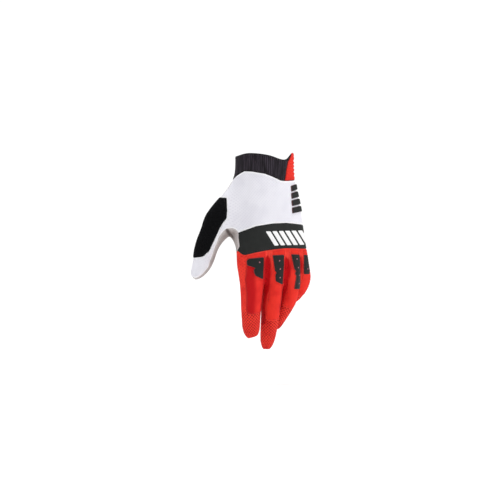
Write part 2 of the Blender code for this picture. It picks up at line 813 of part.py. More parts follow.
def main():
    for thing in list(bpy.data.objects):
        bpy.data.objects.remove(thing)
    glove = bpy.data.collections.new("mountain_bike_glove")
    bpy.context.scene.collection.children.link(glove)
    cage = build_cage()
    skin, normal, panels = sew_panels(cage)
    for name, faces in panels.items():
        kind = "finger_back" if name.startswith("finger_back") else name
        colour = make_material(name, kind)
        glove.objects.link(make_wall(name, faces, normal, -CLOTH, 0.0, colour))
    skin.free()
    skin, normal, pads = mould_pads(cage)
    for name, faces in pads.items():
        colour = make_material(name, "guard")
        top = GUARD_LIFT + GUARD_HEIGHT
        glove.objects.link(make_wall(name, faces, normal, GUARD_LIFT, top, colour))
    skin.free()
    cage.free()


main()
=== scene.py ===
"""Looks of the mountain bike glove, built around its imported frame.

The cage and the seam lines are those of the CAD part, smoothed further. The skin is cut along the
seams into its panels, each panel gets turned-in edges, folds and a wall, and stands for the CAD
node of the same name. Lengths are metres, in the frame of the CAD part.
"""

import math

import bmesh
import bpy
import numpy as np
from mathutils import Matrix, Vector, noise


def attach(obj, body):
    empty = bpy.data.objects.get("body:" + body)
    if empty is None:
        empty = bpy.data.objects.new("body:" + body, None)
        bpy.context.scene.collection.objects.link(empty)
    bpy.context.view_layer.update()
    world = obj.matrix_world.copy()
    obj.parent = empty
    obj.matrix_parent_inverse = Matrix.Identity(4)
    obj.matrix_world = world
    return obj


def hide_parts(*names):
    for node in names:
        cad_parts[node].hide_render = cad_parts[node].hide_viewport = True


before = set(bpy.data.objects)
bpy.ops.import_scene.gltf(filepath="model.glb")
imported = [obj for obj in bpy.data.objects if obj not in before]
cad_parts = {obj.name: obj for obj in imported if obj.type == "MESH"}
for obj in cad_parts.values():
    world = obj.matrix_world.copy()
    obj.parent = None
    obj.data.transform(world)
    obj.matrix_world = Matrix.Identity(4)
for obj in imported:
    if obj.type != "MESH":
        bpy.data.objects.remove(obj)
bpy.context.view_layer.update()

# Sizes that can be set one by one.
GLOVE_LENGTH = 0.2215  # mouth of the cuff to the tip of the middle finger
PALM_WIDTH = 0.092
PALM_DEPTH = 0.035
WRIST_WIDTH = 0.072
WRIST_DEPTH = 0.049
CLOTH = 0.0014  # wall of the sewn panels
GUARD_HEIGHT = 0.0013  # rubber above the cloth
GUARD_LIFT = 0.0004  # space between the rubber and the cloth

SKIN_LEVEL = 4
BLENDED = ("palm", "finger_back", "band_bottom")  # fields that are evened out where regions meet
BLEND_RINGS = 8
BLEND_STEPS = 60
CRUMB = 40  # loose bits of a panel with no more faces than this are left out
CLOTH_LUMPS = 0.00012
PUCKER = 0.00018
GATHERS = 0.00045  # the gusset is drawn together by elastic
GATHER_PITCH = 0.0042
THREAD = 0.00045
STITCH_PITCH = 0.0027
STITCH_LENGTH = 0.0019
DOT_WIDTH = 0.0017
DOT_HEIGHT = 0.0007
PRINT_HEIGHT = 0.00015
DEEP_EDGE = 0.0018  # over what distance the deep shade between the fingers fades
LUMP_SIZE = 0.011
PUCKER_SIZE = 0.0021
PUCKER_REACH = 0.0018
TERRY = {  # loops per square metre, their height, their yarn as a share of it
    "Density": 1.5e6, "Height": 0.0011, "Yarn": 0.12, "Seed": 4,
}
BACKDROP, AMBIENT, OVERHEAD = 1.05, 0.29, 1.85  # strength of the world behind, round and above
CAMERA_DISTANCE = 5.0
FRAME_WIDTH = 0.565  # what 500 pixels show at the glove
FLOOR = -0.26
TUBE_FULLNESS = 1.085  # smoothing draws an eight-sided tube in by this much
SLANT = math.radians(30)  # seams are drawn on a plane that is turned towards the thumb
AHEAD = np.array([-math.sin(SLANT), -math.cos(SLANT), 0])  # the way that plane faces

HALF_WIDTH = PALM_WIDTH / 2
HALF_DEPTH = PALM_DEPTH / 2

DORSAL = [f"D{i}" for i in range(11)]
PALMAR = [f"P{i}" for i in range(11)]
LOOPS = {
    "full": ["S"] + DORSAL + ["U"] + PALMAR[::-1],
    "hand": ["W2"] + DORSAL[2:] + ["U"] + PALMAR[:1:-1],
    "thumb": ["S", "D0", "D1", "D2", "W2", "P2", "P1", "P0"],
    "index": ["W2", "D2", "D3", "D4", "W4", "P4", "P3", "P2"],
    "middle": ["W4", "D4", "D5", "D6", "W6", "P6", "P5", "P4"],
    "ring": ["W6", "D6", "D7", "D8", "W8", "P8", "P7", "P6"],
    "little": ["W8", "D8", "D9", "D10", "U", "P10", "P9", "P8"],
}
REGIONS = ("hand", "thumb", "index", "middle", "ring", "little")
FINGERS = REGIONS[2:]

# drop: share of the glove's length; across, half_width: shares of half the palm's width (the first
# three rows: of half the wrist's); inward, half_depth: the same with the depths; turn: how far the
# columns have moved from the even spacing of the wrist to that of the knuckles; thenar: swelling
# of the palm at the root of the thumb, a share of half the palm's depth.
HAND_COLUMNS = ("drop", "across", "inward", "half_width", "half_depth", "turn", "thenar")
WRIST_ROWS = (
    (0.000, -0.01, 0.00, 1.00, 0.98, 0.0, 0.0),
    (0.050, -0.01, 0.00, 1.00, 1.00, 0.0, 0.0),
    (0.108, -0.01, 0.00, 1.01, 1.02, 0.0, 0.0),
)
HAND_ROWS = (
    (0.172, -0.01, 0.00, 0.82, 1.34, 0.2, 0.16),
    (0.244, 0.05, -0.03, 0.86, 1.24, 0.4, 0.28),
    (0.316, 0.08, -0.06, 0.91, 1.14, 0.6, 0.34),
    (0.382, 0.09, -0.11, 0.95, 1.07, 0.8, 0.28),
    (0.444, 0.12, -0.17, 0.97, 1.02, 0.9, 0.16),
    (0.506, 0.16, -0.17, 0.98, 0.99, 1.0, 0.00),
    (0.572, 0.20, -0.15, 1.02, 0.93, 1.0, 0.00),
)
WEB_ROW = 3  # the row of HAND_ROWS where the thumb parts from the hand
COLUMN_ANGLES = {  # degrees of columns 2 to 10, for the last rows and for all rows before them
    6: (-72, -43, -15, -2, 10, 24, 38, 55, 72),
    5: (-72, -42, -13, 0, 14, 28, 44, 58, 72),
    None: (-72, -41, -11, 2, 16, 31, 48, 60, 72),
}
SQUARENESS = 2.3
THENAR_SPREAD = {"P2": 1.0, "P3": 0.8, "P4": 0.45, "P5": 0.15}
VALLEYS = {5: 0.05, 6: 0.12}  # depth of the dips between the fingers, row: share of half the depth

# The sections of the thumb and the fingers: drop is a share of the glove's length, across and
# half_width are shares of half the palm's width, inward and half_depth of half its depth.
TUBE_COLUMNS = ("drop", "across", "inward", "half_width", "half_depth")
THUMB_ROOT = (
    (0.172, -0.63, 0.34, 0.27, 0.80),
    (0.244, -0.85, 0.69, 0.33, 0.91),
    (0.316, -1.10, 0.97, 0.35, 0.94),
    (0.382, -1.13, 1.20, 0.35, 0.92),
)
TUBES = {
    "thumb": (
        (0.451, -1.29, 1.43, 0.27, 0.80),
        (0.506, -1.34, 1.60, 0.27, 0.77),
        (0.564, -1.38, 1.77, 0.235, 0.68),
        (0.608, -1.50, 1.88, 0.175, 0.50),
        (0.631, -1.60, 1.93, 0.085, 0.28),
    ),
    "index": (
        (0.572, -0.43, -0.16, 0.28, 0.78),
        (0.632, -0.42, -0.11, 0.30, 0.77),
        (0.700, -0.370, 0.01, 0.280, 0.72),
        (0.770, -0.338, 0.24, 0.257, 0.66),
        (0.845, -0.285, 0.49, 0.237, 0.61),
        (0.904, -0.238, 0.665, 0.220, 0.54),
        (0.936, -0.195, 0.73, 0.13, 0.32),
    ),
    "middle": (
        (0.572, 0.18, -0.26, 0.22, 0.76),
        (0.632, 0.20, -0.20, 0.27, 0.73),
        (0.700, 0.225, 0.02, 0.24, 0.71),
        (0.770, 0.24, 0.34, 0.25, 0.68),
        (0.840, 0.305, 0.71, 0.222, 0.61),
        (0.912, 0.335, 1.045, 0.207, 0.56),
        (0.970, 0.320, 1.19, 0.17, 0.45),
        (0.999, 0.317, 1.26, 0.085, 0.23),
    ),
    "ring": (
        (0.572, 0.68, -0.15, 0.18, 0.72),
        (0.632, 0.72, -0.05, 0.24, 0.70),
        (0.694, 0.76, 0.20, 0.235, 0.66),
        (0.749, 0.768, 0.55, 0.22, 0.62),
        (0.801, 0.715, 1.01, 0.208, 0.58),
        (0.849, 0.655, 1.40, 0.185, 0.51),
        (0.895, 0.64, 1.71, 0.12, 0.33),
    ),
    "little": (
        (0.572, 1.10, 0.17, 0.15, 0.66),
        (0.632, 1.19, 0.44, 0.215, 0.60),
        (0.677, 1.21, 0.90, 0.195, 0.56),
        (0.718, 1.175, 1.46, 0.175, 0.52),
        (0.744, 1.155, 1.92, 0.125, 0.42),
    ),
}
CROTCH_DIP = 0.018  # the webs between the fingers reach this much below the row, share of the length
WEB_DIP = 0.040  # the same for the web of the thumb

# Seam lines. Points on the slanted plane are (across, drop), shares of half the palm's width and of
# the glove's length. Points round the wrist are (degrees from the back towards the little finger,
# drop).
CUFF_SEAM = (
    (-180, 0.126), (-130, 0.133), (-112, 0.135), (-83, 0.107), (-65, 0.090), (-46, 0.092),
    (-21, 0.103), (-3, 0.121), (12, 0.137), (22, 0.139), (68, 0.133), (120, 0.124), (180, 0.126),
)
CUFF_TOP = (  # (degrees, drop)
    (-180, 0.012), (-130, 0.014), (-91, 0.012), (-58, -0.003), (-40, -0.003), (-10, 0.007),
    (13, 0.030), (30, 0.030), (54, -0.020), (80, 0.024), (112, 0.036), (130, 0.030),
    (150, 0.020), (180, 0.012),
)
GUSSET_EDGE = ((-0.02, 54), (0.039, 32), (0.077, 26), (0.138, 21))  # (drop, degrees)
GUSSET_FAR_EDGE = 112  # degrees
WEB_OUTLINE = (  # the palm cloth that shows between the thumb and the index finger
    (-1.31, 0.530), (-1.22, 0.480), (-1.18, 0.454), (-1.10, 0.423), (-0.965, 0.386),
    (-0.88, 0.378), (-0.76, 0.387), (-0.66, 0.409), (-0.615, 0.490), (-0.57, 0.515),
)
SIDE_SEAM = (  # (drop, inward on the thumb side, inward on the little-finger side)
    (0.10, 0.45, 0.10), (0.172, 0.86, 0.10), (0.244, 1.26, 0.10), (0.316, 1.54, 0.10),
    (0.368, 1.66, 0.10), (0.40, -0.30, 0.10), (0.52, -0.30, 0.10),
)
BAND_TOP = ((-0.66, 0.402), (-0.215, 0.369), (0.21, 0.355), (0.54, 0.352), (0.92, 0.360))
BAND_BOTTOM = (
    (-0.75, 0.490), (-0.62, 0.500), (-0.52, 0.521), (-0.26, 0.504), (0.145, 0.489),
    (0.54, 0.480), (1.0, 0.4835),
)
THUMB_NAIL = -65  # degrees from the back towards the little finger
THUMB_CLOTH = 75  # degrees to each side of the nail that belong to the back
FINGER_CLOTH = 122  # degrees to each side of the finger's back that are red
BACK_CLOTH = 0.85  # share of the finger's half width that is the smooth back
BACK_ENDS = {"index": 0.806, "middle": 0.835, "ring": 0.765, "little": 0.70}  # drop
BACK_CORNER = 0.10  # round corner of the finger backs, share of half the palm's width
THUMB_PATCH = (
    (-1.10, 0.223), (-0.943, 0.226), (-0.929, 0.291), (-0.943, 0.330), (-1.022, 0.349),
    (-1.108, 0.379), (-1.243, 0.441), (-1.368, 0.496), (-1.523, 0.523), (-1.80, 0.529),
    (-1.80, 0.230), (-1.30, 0.215),
)
PADS = {
    "knuckle_guard_index": (
        (-0.437, 0.5459), (-0.393, 0.5352), (-0.039, 0.528), (-0.044, 0.5637),
        (-0.064, 0.6357), (-0.226, 0.6183), (-0.26, 0.602), (-0.265, 0.5897),
        (-0.211, 0.5806), (-0.427, 0.5658),
    ),
    "knuckle_guard_middle": (
        (0.199, 0.5183), (0.452, 0.5163), (0.447, 0.5612), (0.413, 0.6622),
        (0.273, 0.6474), (0.265, 0.6153), (0.307, 0.6045), (0.255, 0.5959),
    ),
    "knuckle_guard_ring": (
        (0.658, 0.5132), (0.83, 0.5148), (0.855, 0.551), (0.865, 0.6091),
        (0.833, 0.6877), (0.734, 0.6872), (0.779, 0.6224), (0.747, 0.6081),
        (0.776, 0.5969), (0.732, 0.5877),
    ),
    "knuckle_guard_little": (
        (0.968, 0.5168), (1.024, 0.5168), (1.083, 0.5969), (1.076, 0.6102),
        (0.968, 0.6102),
    ),
    "hand_guard_1": ((0.64, 0.165), (0.76, 0.155), (0.78, 0.180), (0.65, 0.190)),
    "hand_guard_2": ((0.65, 0.202), (0.79, 0.192), (0.82, 0.217), (0.66, 0.227)),
    "hand_guard_3": ((0.66, 0.239), (0.83, 0.229), (0.86, 0.254), (0.67, 0.264)),
    "hand_guard_4": ((0.67, 0.276), (0.87, 0.266), (0.90, 0.291), (0.68, 0.301)),
}
PAD_CORNER = 0.010  # share of half the palm's width
OUTSIDE = 0.09  # how far from the band's seams the thumb counts, share of the length

# Plain slanted bars printed on the band, outlines on the slanted plane.
PRINT_BARS = (
    ((0.026, 0.3961), (0.13, 0.3955), (0.34, 0.4659), (0.237, 0.4665)),
    ((0.184, 0.3951), (0.287, 0.3945), (0.497, 0.4649), (0.394, 0.4655)),
    ((0.341, 0.3942), (0.444, 0.3935), (0.654, 0.4639), (0.551, 0.4646)),
    ((0.498, 0.3932), (0.601, 0.3925), (0.812, 0.4629), (0.708, 0.4636)),
    ((0.655, 0.3922), (0.758, 0.3916), (0.969, 0.462), (0.866, 0.4626)),
    ((0.812, 0.3912), (0.916, 0.3906), (1.126, 0.461), (1.023, 0.4616)),
)
DOTS = {  # where a guard's raised dots stand on the slanted plane
    "knuckle_guard_index": ((-0.147, 0.552),),
    "knuckle_guard_middle": ((0.346, 0.5418), (0.359, 0.5846), (0.351, 0.6275)),
    "knuckle_guard_ring": ((0.762, 0.5346), (0.801, 0.5755), (0.823, 0.6168), (0.813, 0.6612)),
    "knuckle_guard_little": ((1.032, 0.5821),),
}
STITCH_AT = {  # metres from the edge of the panel
    "cuff": 0.0022, "back_panel": 0.0021, "palm_panel": 0.0022, "thumb_patch": 0.0019,
    "knuckle_band": 0.0018, "finger_back": 0.0019, "cuff_gusset": 0.002,
}
LAMPS = (  # name, place, watts, size
    ("left_softbox", (-1.9, 0.5, 0.2), 2.0, (0.8, 1.6)),
    ("right_softbox", (1.6, -1.2, 0.5), 11.0, (0.8, 1.6)),
)
FOLDS = (  # side, across and drop of its two ends, height in mm, width in mm
    ("back", -0.93, 0.384, -0.82, 0.425, -1.8, 1.5),
    ("back", -0.90, 0.376, -0.76, 0.400, 0.6, 1.2),
    ("back", 0.093, 0.5, 0.044, 0.6938, -3.2, 3.2),
    ("back", -0.012, 0.5102, -0.015, 0.6632, 0.9, 1.6),
    ("back", 0.565, 0.5, 0.521, 0.7244, -3.2, 3.8),
    ("back", 0.462, 0.5204, 0.447, 0.6938, 0.9, 1.6),
    ("back", 0.904, 0.4949, 0.889, 0.6428, -1.8, 2.0),
    ("back", -0.948, 0.3836, -0.85, 0.4102, -1.9, 1.5),
    ("back", -0.894, 0.402, -0.766, 0.4316, -1.3, 1.3),
    ("back", -0.66, 0.655, -0.06, 0.662, -0.35, 2.6),
    ("back", 0.02, 0.735, 0.48, 0.742, -0.35, 2.6),
    ("back", 0.55, 0.700, 1.05, 0.690, -0.35, 2.6),
    ("back", -0.70, 0.130, -0.30, 0.170, -0.4, 4.0),
    ("back", -1.45, 0.500, -1.28, 0.565, -0.4, 2.0),
    ("palm", -0.60, 0.480, 0.90, 0.440, -0.9, 2.2),
    ("palm", -0.70, 0.420, 0.30, 0.360, -0.8, 2.2),
    ("palm", -0.40, 0.200, -0.60, 0.400, -0.9, 2.6),
)

# The deep shade between the fingers as the photograph shows it: outlines on the slanted plane.
DEEPS = (
    (
        (0.088, 0.5178), (0.147, 0.5357), (0.162, 0.5714), (0.147, 0.6224), (0.103, 0.6836),
        (0.049, 0.7346), (0.005, 0.7754), (0.017, 0.8265), (0.017, 0.8673), (-0.069, 0.8775),
        (-0.113, 0.8367), (-0.113, 0.7754), (-0.079, 0.7295), (-0.049, 0.6836), (-0.039, 0.6173),
        (-0.034, 0.5612), (0.017, 0.5306),
    ),
    (
        (0.533, 0.5229), (0.614, 0.5408), (0.649, 0.5765), (0.639, 0.6173), (0.582, 0.6581),
        (0.521, 0.6989), (0.467, 0.7448), (0.41, 0.7907), (0.359, 0.8061), (0.364, 0.7754),
        (0.403, 0.7295), (0.418, 0.6785), (0.423, 0.6224), (0.452, 0.5612),
    ),
    (
        (0.87, 0.5127), (0.929, 0.5306), (0.946, 0.5714), (0.924, 0.6122), (0.87, 0.6173),
        (0.85, 0.5714),
    ),
)

# Each panel: its edges (field, sign) that bound it.
EDGES = {
    "cuff": (("cuff", 1), ("gusset", -1), ("hem", 1)),
    "cuff_gusset": (("cuff", 1), ("gusset", 1), ("hem", 1)),
    "palm_panel": (("cuff", -1), ("palm", 1)),
    "knuckle_band": (("palm", -1), ("band_top", 1), ("band_bottom", -1)),
    "thumb_patch": (("palm", -1), ("patch", 1)),
    "back_panel": (("cuff", -1), ("palm", -1), ("band_top", -1), ("patch", -1)),
    "finger_sleeves": (("palm", -1), ("band_bottom", 1), ("finger_back", -1)),
}
for finger in FINGERS:
    EDGES[f"finger_back_{finger}"] = (("palm", -1), ("band_bottom", 1), ("finger_back", 1))

# Millimetres: how far the panel stands above the skin, how deep its edge turns in, and over what
# distance it does so.
PROFILES = {
    "cuff": (0.0, 0.8, 1.6),
    "cuff_gusset": (0.0, 0.7, 1.4),
    "palm_panel": (0.0, 0.8, 1.6),
    "knuckle_band": (0.1, 0.7, 1.3),
    "thumb_patch": (0.5, 1.0, 1.4),
    "back_panel": (0.1, 0.8, 1.7),
    "finger_sleeves": (0.0, 0.7, 1.5),
    "finger_back": (0.1, 0.6, 1.4),
}
PROFILE_STEPS = (0.12, 0.35, 0.65, 1.0)


def as_rows(columns, rows):
    """Each row of a table as a dictionary."""
    return [dict(zip(columns, row)) for row in rows]


def round_pairs(loop):
    """Each item of a loop with the one after it."""
    return zip(loop, loop[1:] + loop[:1])


def vertices_of(faces):
    return sorted({v for _, face in faces for v in face})


def put_object(name, data):
    made = bpy.data.objects.new(name, data)
    bpy.context.scene.collection.objects.link(made)
    return made


def section_point(centre, side, back, half_width, half_depth, degrees, squareness=2.0):
    """A point of a rounded section; 0 degrees is its back and 90 its little-finger side."""
    angle = math.radians(degrees)
    s, c = math.sin(angle), math.cos(angle)
    power = 2 / squareness
    return (
        centre
        + side * half_width * math.copysign(abs(s) ** power, s)
        + back * half_depth * math.copysign(abs(c) ** power, c)
    )


ACROSS = Vector((1, 0, 0))
BACKWARD = Vector((0, -1, 0))


def centre_of(row):
    return Vector((
        row["across"] * HALF_WIDTH, row["inward"] * HALF_DEPTH, -row["drop"] * GLOVE_LENGTH,
    ))


def tube_stations(rows):
    """Centre, side, back and half sizes of each section of a finger, square to its centre line."""
    rows = as_rows(TUBE_COLUMNS, rows)
    centres = [centre_of(row) for row in rows]
    stations = []
    for i, row in enumerate(rows):
        before, after = centres[max(i - 1, 0)], centres[min(i + 1, len(rows) - 1)]
        along = (after - before).normalized()
        side = (ACROSS - along * along.dot(ACROSS)).normalized()
        stations.append({
            "centre": centres[i],
            "side": side,
            "back": along.cross(side).normalized(),
            "half_width": row["half_width"] * HALF_WIDTH,
            "half_depth": row["half_depth"] * HALF_DEPTH,
        })
    return stations


STATIONS = {name: tube_stations(rows) for name, rows in TUBES.items()}


def station_point(station, degrees, fullness=TUBE_FULLNESS):
    return section_point(
        station["centre"], station["side"], station["back"],
        station["half_width"] * fullness, station["half_depth"] * fullness, degrees,
    )


def wrist_positions(row):
    """Even spacing round the cuff."""
    centre = Vector((
        row["across"] * WRIST_WIDTH / 2, row["inward"] * WRIST_DEPTH / 2,
        -row["drop"] * GLOVE_LENGTH,
    ))
    names = LOOPS["full"]
    places = {}
    for i, name in enumerate(names):
        degrees = -90 + 360 * i / len(names)
        places[name] = section_point(
            centre, ACROSS, BACKWARD, row["half_width"] * WRIST_WIDTH / 2,
            row["half_depth"] * WRIST_DEPTH / 2, degrees,
        )
        if row["drop"] == 0:
            turned = degrees if degrees <= 180 else degrees - 360
            places[name].z -= table_at(CUFF_TOP, turned) * GLOVE_LENGTH
    return places


def hand_positions(row, number):
    """One row of the hand: an oval section, with the root of the thumb where it has one."""
    centre = centre_of(row)
    half_width = row["half_width"] * HALF_WIDTH
    half_depth = row["half_depth"] * HALF_DEPTH
    turn = row["turn"]
    angles = {"W2": -90, "U": 90}
    turned = COLUMN_ANGLES.get(number, COLUMN_ANGLES[None])
    for i in range(2, 11):
        angle = (1 - turn) * (-75 + 15 * i) + turn * turned[i - 2]
        angles[f"D{i}"] = angle
        angles[f"P{i}"] = 180 - angle
    dip = VALLEYS.get(number, 0.0)
    places = {}
    for name, angle in angles.items():
        hollow = 1 - dip if name[1:] in ("4", "6", "8") else 1
        places[name] = section_point(
            centre, ACROSS, BACKWARD, half_width, half_depth * hollow, angle, SQUARENESS
        )
    for name, spread in THENAR_SPREAD.items():
        places[name].y += spread * row["thenar"] * HALF_DEPTH
    if number > WEB_ROW:
        return places
    root = thumb_root_station(number)
    for name, angle in (("S", -90), ("D0", -48), ("D1", -4), ("P1", 184), ("P0", 228)):
        places[name] = station_point(root, angle, 1.03)
    places["P2"] = (places["P1"] + places["P3"]) / 2
    places["P2"].y += 0.1 * HALF_DEPTH
    if number == WEB_ROW:
        middle = (places["D1"] + places["P1"]) / 2
        places["D2"] = places["D1"].lerp(places["D3"], 0.55)
        places["D2"].y += 0.35 * HALF_DEPTH
        places["W2"] = places["D2"].lerp(places["P2"], 0.5)
        places["W2"].x = (places["D2"].x + middle.x) / 2 + 0.12 * HALF_WIDTH
        places["W2"].z -= WEB_DIP * GLOVE_LENGTH
    else:
        del places["W2"]
    return places


def thumb_root_station(number):
    row = dict(zip(TUBE_COLUMNS, THUMB_ROOT[number]))
    return {
        "centre": centre_of(row),
        "side": ACROSS,
        "back": BACKWARD,
        "half_width": row["half_width"] * HALF_WIDTH,
        "half_depth": row["half_depth"] * HALF_DEPTH,
    }


def crotch_positions():
    """The row where the fingers part: each finger's own section, neighbours sharing an edge."""
    rows = {name: STATIONS[name][1] for name in FINGERS}
    places = {}
    for number, name in enumerate(FINGERS):
        first = 2 + 2 * number
        places[f"D{first + 1}"] = station_point(rows[name], 0, 1.03)
        places[f"P{first + 1}"] = station_point(rows[name], 180, 1.03)
    for number, (name, other) in enumerate(zip(FINGERS, FINGERS[1:])):
        column = 4 + 2 * number
        for letter, angle in (("D", 52), ("W", 90), ("P", 128)):
            near = station_point(rows[name], angle, 1.0)
            far = station_point(rows[other], -angle, 1.0)
            places[f"{letter}{column}"] = (near + far) / 2
        places[f"W{column}"].z -= CROTCH_DIP * GLOVE_LENGTH
    for name, finger, angle in (
        ("W2", "index", -90), ("D2", "index", -48), ("P2", "index", 228),
        ("U", "little", 90), ("D10", "little", 48), ("P10", "little", 132),
    ):
        places[name] = station_point(rows[finger], angle, 1.05)
    return places


def tube_positions(name, station):
    loop = LOOPS[name]
    return {vertex: station_point(station, -90 + 45 * i) for i, vertex in enumerate(loop)}


def join_rows(bm, upper, lower, loop, region=None):
    """Quads between two rows of a loop; without a region, each belongs to the finger it leads to."""
    for name, after in round_pairs(loop):
        face = bm.faces.new((upper[name], lower[name], lower[after], upper[after]))
        face.material_index = finger_of_face(name, after) if region is None else region


def close_tip(bm, row, loop, region):
    """Two quads and two triangles over the end of a finger."""
    side, d0, d1, d2, other, p2, p1, p0 = (row[name] for name in loop)
    for corners in ((side, p0, d0), (d0, p0, p1, d1), (d1, p1, p2, d2), (d2, p2, other)):
        bm.faces.new(corners).material_index = region


def finger_of_face(name, after):
    """The finger that a face of the hand's last row leads to."""
    def column(vertex):
        if vertex in ("W2", "U"):
            return 2 if vertex == "W2" else 10
        return int(vertex[1:])
    middle = (column(name) + column(after)) / 2
    return REGIONS.index(FINGERS[min(int((middle - 2) // 2), 3)])


def build_cage():
    """The whole glove as one open cage; the region is kept as the face's material number."""
    bm = bmesh.new()

    def new_row(places):
        return {name: bm.verts.new(place) for name, place in places.items()}

    last = None
    for row in as_rows(HAND_COLUMNS, WRIST_ROWS):
        here = new_row(wrist_positions(row))
        if last:
            join_rows(bm, last, here, LOOPS["full"], 0)
        last = here
    for number, row in enumerate(as_rows(HAND_COLUMNS, HAND_ROWS)):
        here = new_row(hand_positions(row, number))
        region = 0 if number < len(HAND_ROWS) - 1 else None
        join_rows(bm, last, here, LOOPS["full" if number <= WEB_ROW else "hand"], region)
        if number == WEB_ROW:
            web = here
        last = here
    crotch = new_row(crotch_positions())
    join_rows(bm, last, crotch, LOOPS["hand"])
    for name in REGIONS[1:]:
        region = REGIONS.index(name)
        last = web if name == "thumb" else crotch
        for station in STATIONS[name] if name == "thumb" else STATIONS[name][2:]:
            here = new_row(tube_positions(name, station))
            join_rows(bm, last, here, LOOPS[name], region)
            last = here
        close_tip(bm, last, LOOPS[name], region)
    bmesh.ops.recalc_face_normals(bm, faces=bm.faces)
    return bm


# Fields: one number for each vertex of the skin, zero on the seam and a distance beside it.


def mixed(low, high, share):
    return np.outer(1 - share, np.array(low)) + np.outer(share, np.array(high))


def table_at(points, values, key=0, out=1):
    return np.interp(values, [row[key] for row in points], [row[out] for row in points])


def slanted(points):
    """Where points lie on the slanted plane, in shares: across and drop."""
    across = points[:, 0] * math.cos(SLANT) - points[:, 1] * math.sin(SLANT)
    return across / HALF_WIDTH, -points[:, 2] / GLOVE_LENGTH


def round_finger(points, name):
    """Angle round the finger in degrees, radius, drop, distance to the side, and so on."""
    stations = STATIONS[name]
    best = np.full(len(points), np.inf)
    keys = ("angle", "radius", "drop", "sideways", "half_width", "length")
    found = {key: np.zeros(len(points)) for key in keys}
    run = 0.0
    for low, high in zip(stations, stations[1:]):
        start = np.array(low["centre"])
        line = np.array(high["centre"] - low["centre"])
        size = float(np.linalg.norm(line))
        free = (points - start) @ line / size**2
        share = np.clip(free, 0, 1)
        centre = start + share[:, None] * line
        offset = points - centre
        distance = np.linalg.norm(offset, axis=1)
        sideways = np.einsum("ij,ij->i", offset, mixed(low["side"], high["side"], share))
        backward = np.einsum("ij,ij->i", offset, mixed(low["back"], high["back"], share))
        here = {
            "angle": np.degrees(np.arctan2(sideways, backward)),
            "radius": distance,
            "drop": -centre[:, 2] / GLOVE_LENGTH,
            "sideways": sideways,
            "half_width": low["half_width"] + share * (high["half_width"] - low["half_width"]),
            "length": run + free * size,
        }
        nearer = distance < best
        best = np.where(nearer, distance, best)
        for key in keys:
            found[key] = np.where(nearer, here[key], found[key])
        run += size
    return found


def arc(degrees, radius):
    return np.radians(degrees) * radius


def wrist_angle(points):
    return np.degrees(np.arctan2(points[:, 0] / WRIST_WIDTH, -points[:, 1] / WRIST_DEPTH))


def slope_distance(table, across, drop):
    """Signed distance below a line that is drawn on the slanted plane, positive under it."""
    step = 0.02
    rise = (table_at(table, across + step) - table_at(table, across - step)) * GLOVE_LENGTH
    run = 2 * step * HALF_WIDTH
    return (drop - table_at(table, across)) * GLOVE_LENGTH * run / np.hypot(run, rise)


def outline_distance(outline, across, drop, corner=0.0):
    """Signed distance to a rounded outline on the slanted plane, positive inside."""
    x, y = across * HALF_WIDTH, -drop * GLOVE_LENGTH
    points = [(a * HALF_WIDTH, -d * GLOVE_LENGTH) for a, d in outline]
    nearest = np.full(len(x), np.inf)
    inside = np.zeros(len(x), bool)
    for (x0, y0), (x1, y1) in round_pairs(points):
        dx, dy = x1 - x0, y1 - y0
        share = np.clip(((x - x0) * dx + (y - y0) * dy) / (dx * dx + dy * dy), 0, 1)
        nearest = np.minimum(nearest, np.hypot(x - x0 - share * dx, y - y0 - share * dy))
        if dy:
            inside ^= ((y0 > y) != (y1 > y)) & (x < x0 + (y - y0) * dx / dy)
    return np.where(inside, nearest, -nearest) + corner


def cuff_field(points, region):
    return table_at(CUFF_SEAM, wrist_angle(points)) * GLOVE_LENGTH + points[:, 2]


def hem_field(points, region):
    return -table_at(CUFF_TOP, wrist_angle(points)) * GLOVE_LENGTH - points[:, 2]


def gusset_field(points, region):
    drop = -points[:, 2] / GLOVE_LENGTH
    angle = wrist_angle(points)
    near = angle - table_at(GUSSET_EDGE, drop)
    return arc(np.minimum(near, GUSSET_FAR_EDGE - angle), WRIST_WIDTH * 0.45)


def palm_field(points, region):
    """Positive on the grey palm, the web, and the fronts of the thumb and fingers."""
    if region in FINGERS:
        finger = round_finger(points, region)
        return arc(np.abs(finger["angle"]) - FINGER_CLOTH, finger["radius"])
    if region == "thumb":
        finger = round_finger(points, region)
        turned = (finger["angle"] - THUMB_NAIL + 180) % 360 - 180
        return arc(np.abs(turned) - THUMB_CLOTH, finger["radius"])
    across, drop = slanted(points)
    share = np.clip((points[:, 0] / HALF_WIDTH + 1.15) / 0.8, 0, 1)
    thumb_side = table_at(SIDE_SEAM, drop, 0, 1)
    little_side = table_at(SIDE_SEAM, drop, 0, 2)
    front = points[:, 1] - (thumb_side + share * (little_side - thumb_side)) * HALF_DEPTH
    return np.maximum(front, outline_distance(WEB_OUTLINE, across, drop))


def band_field(table):
    """The field of one of the band's seams, which the thumb has no part in."""
    def field(points, region):
        if region == "thumb":
            return np.full(len(points), -OUTSIDE * GLOVE_LENGTH)
        return slope_distance(table, *slanted(points))
    return field


def finger_back_field(points, region):
    """Positive on the smooth back of a finger, which ends in a round corner."""
    if region == "thumb":
        return np.full(len(points), -OUTSIDE * GLOVE_LENGTH)
    if region in FINGERS:
        return one_finger_back(points, region)
    reach = []
    for name in FINGERS:
        root = STATIONS[name][0]
        reach.append(np.abs(points[:, 0] - root["centre"].x) - root["half_width"])
    nearest = np.argmin(reach, axis=0)
    each = [one_finger_back(points, name) for name in FINGERS]
    return np.choose(nearest, each)


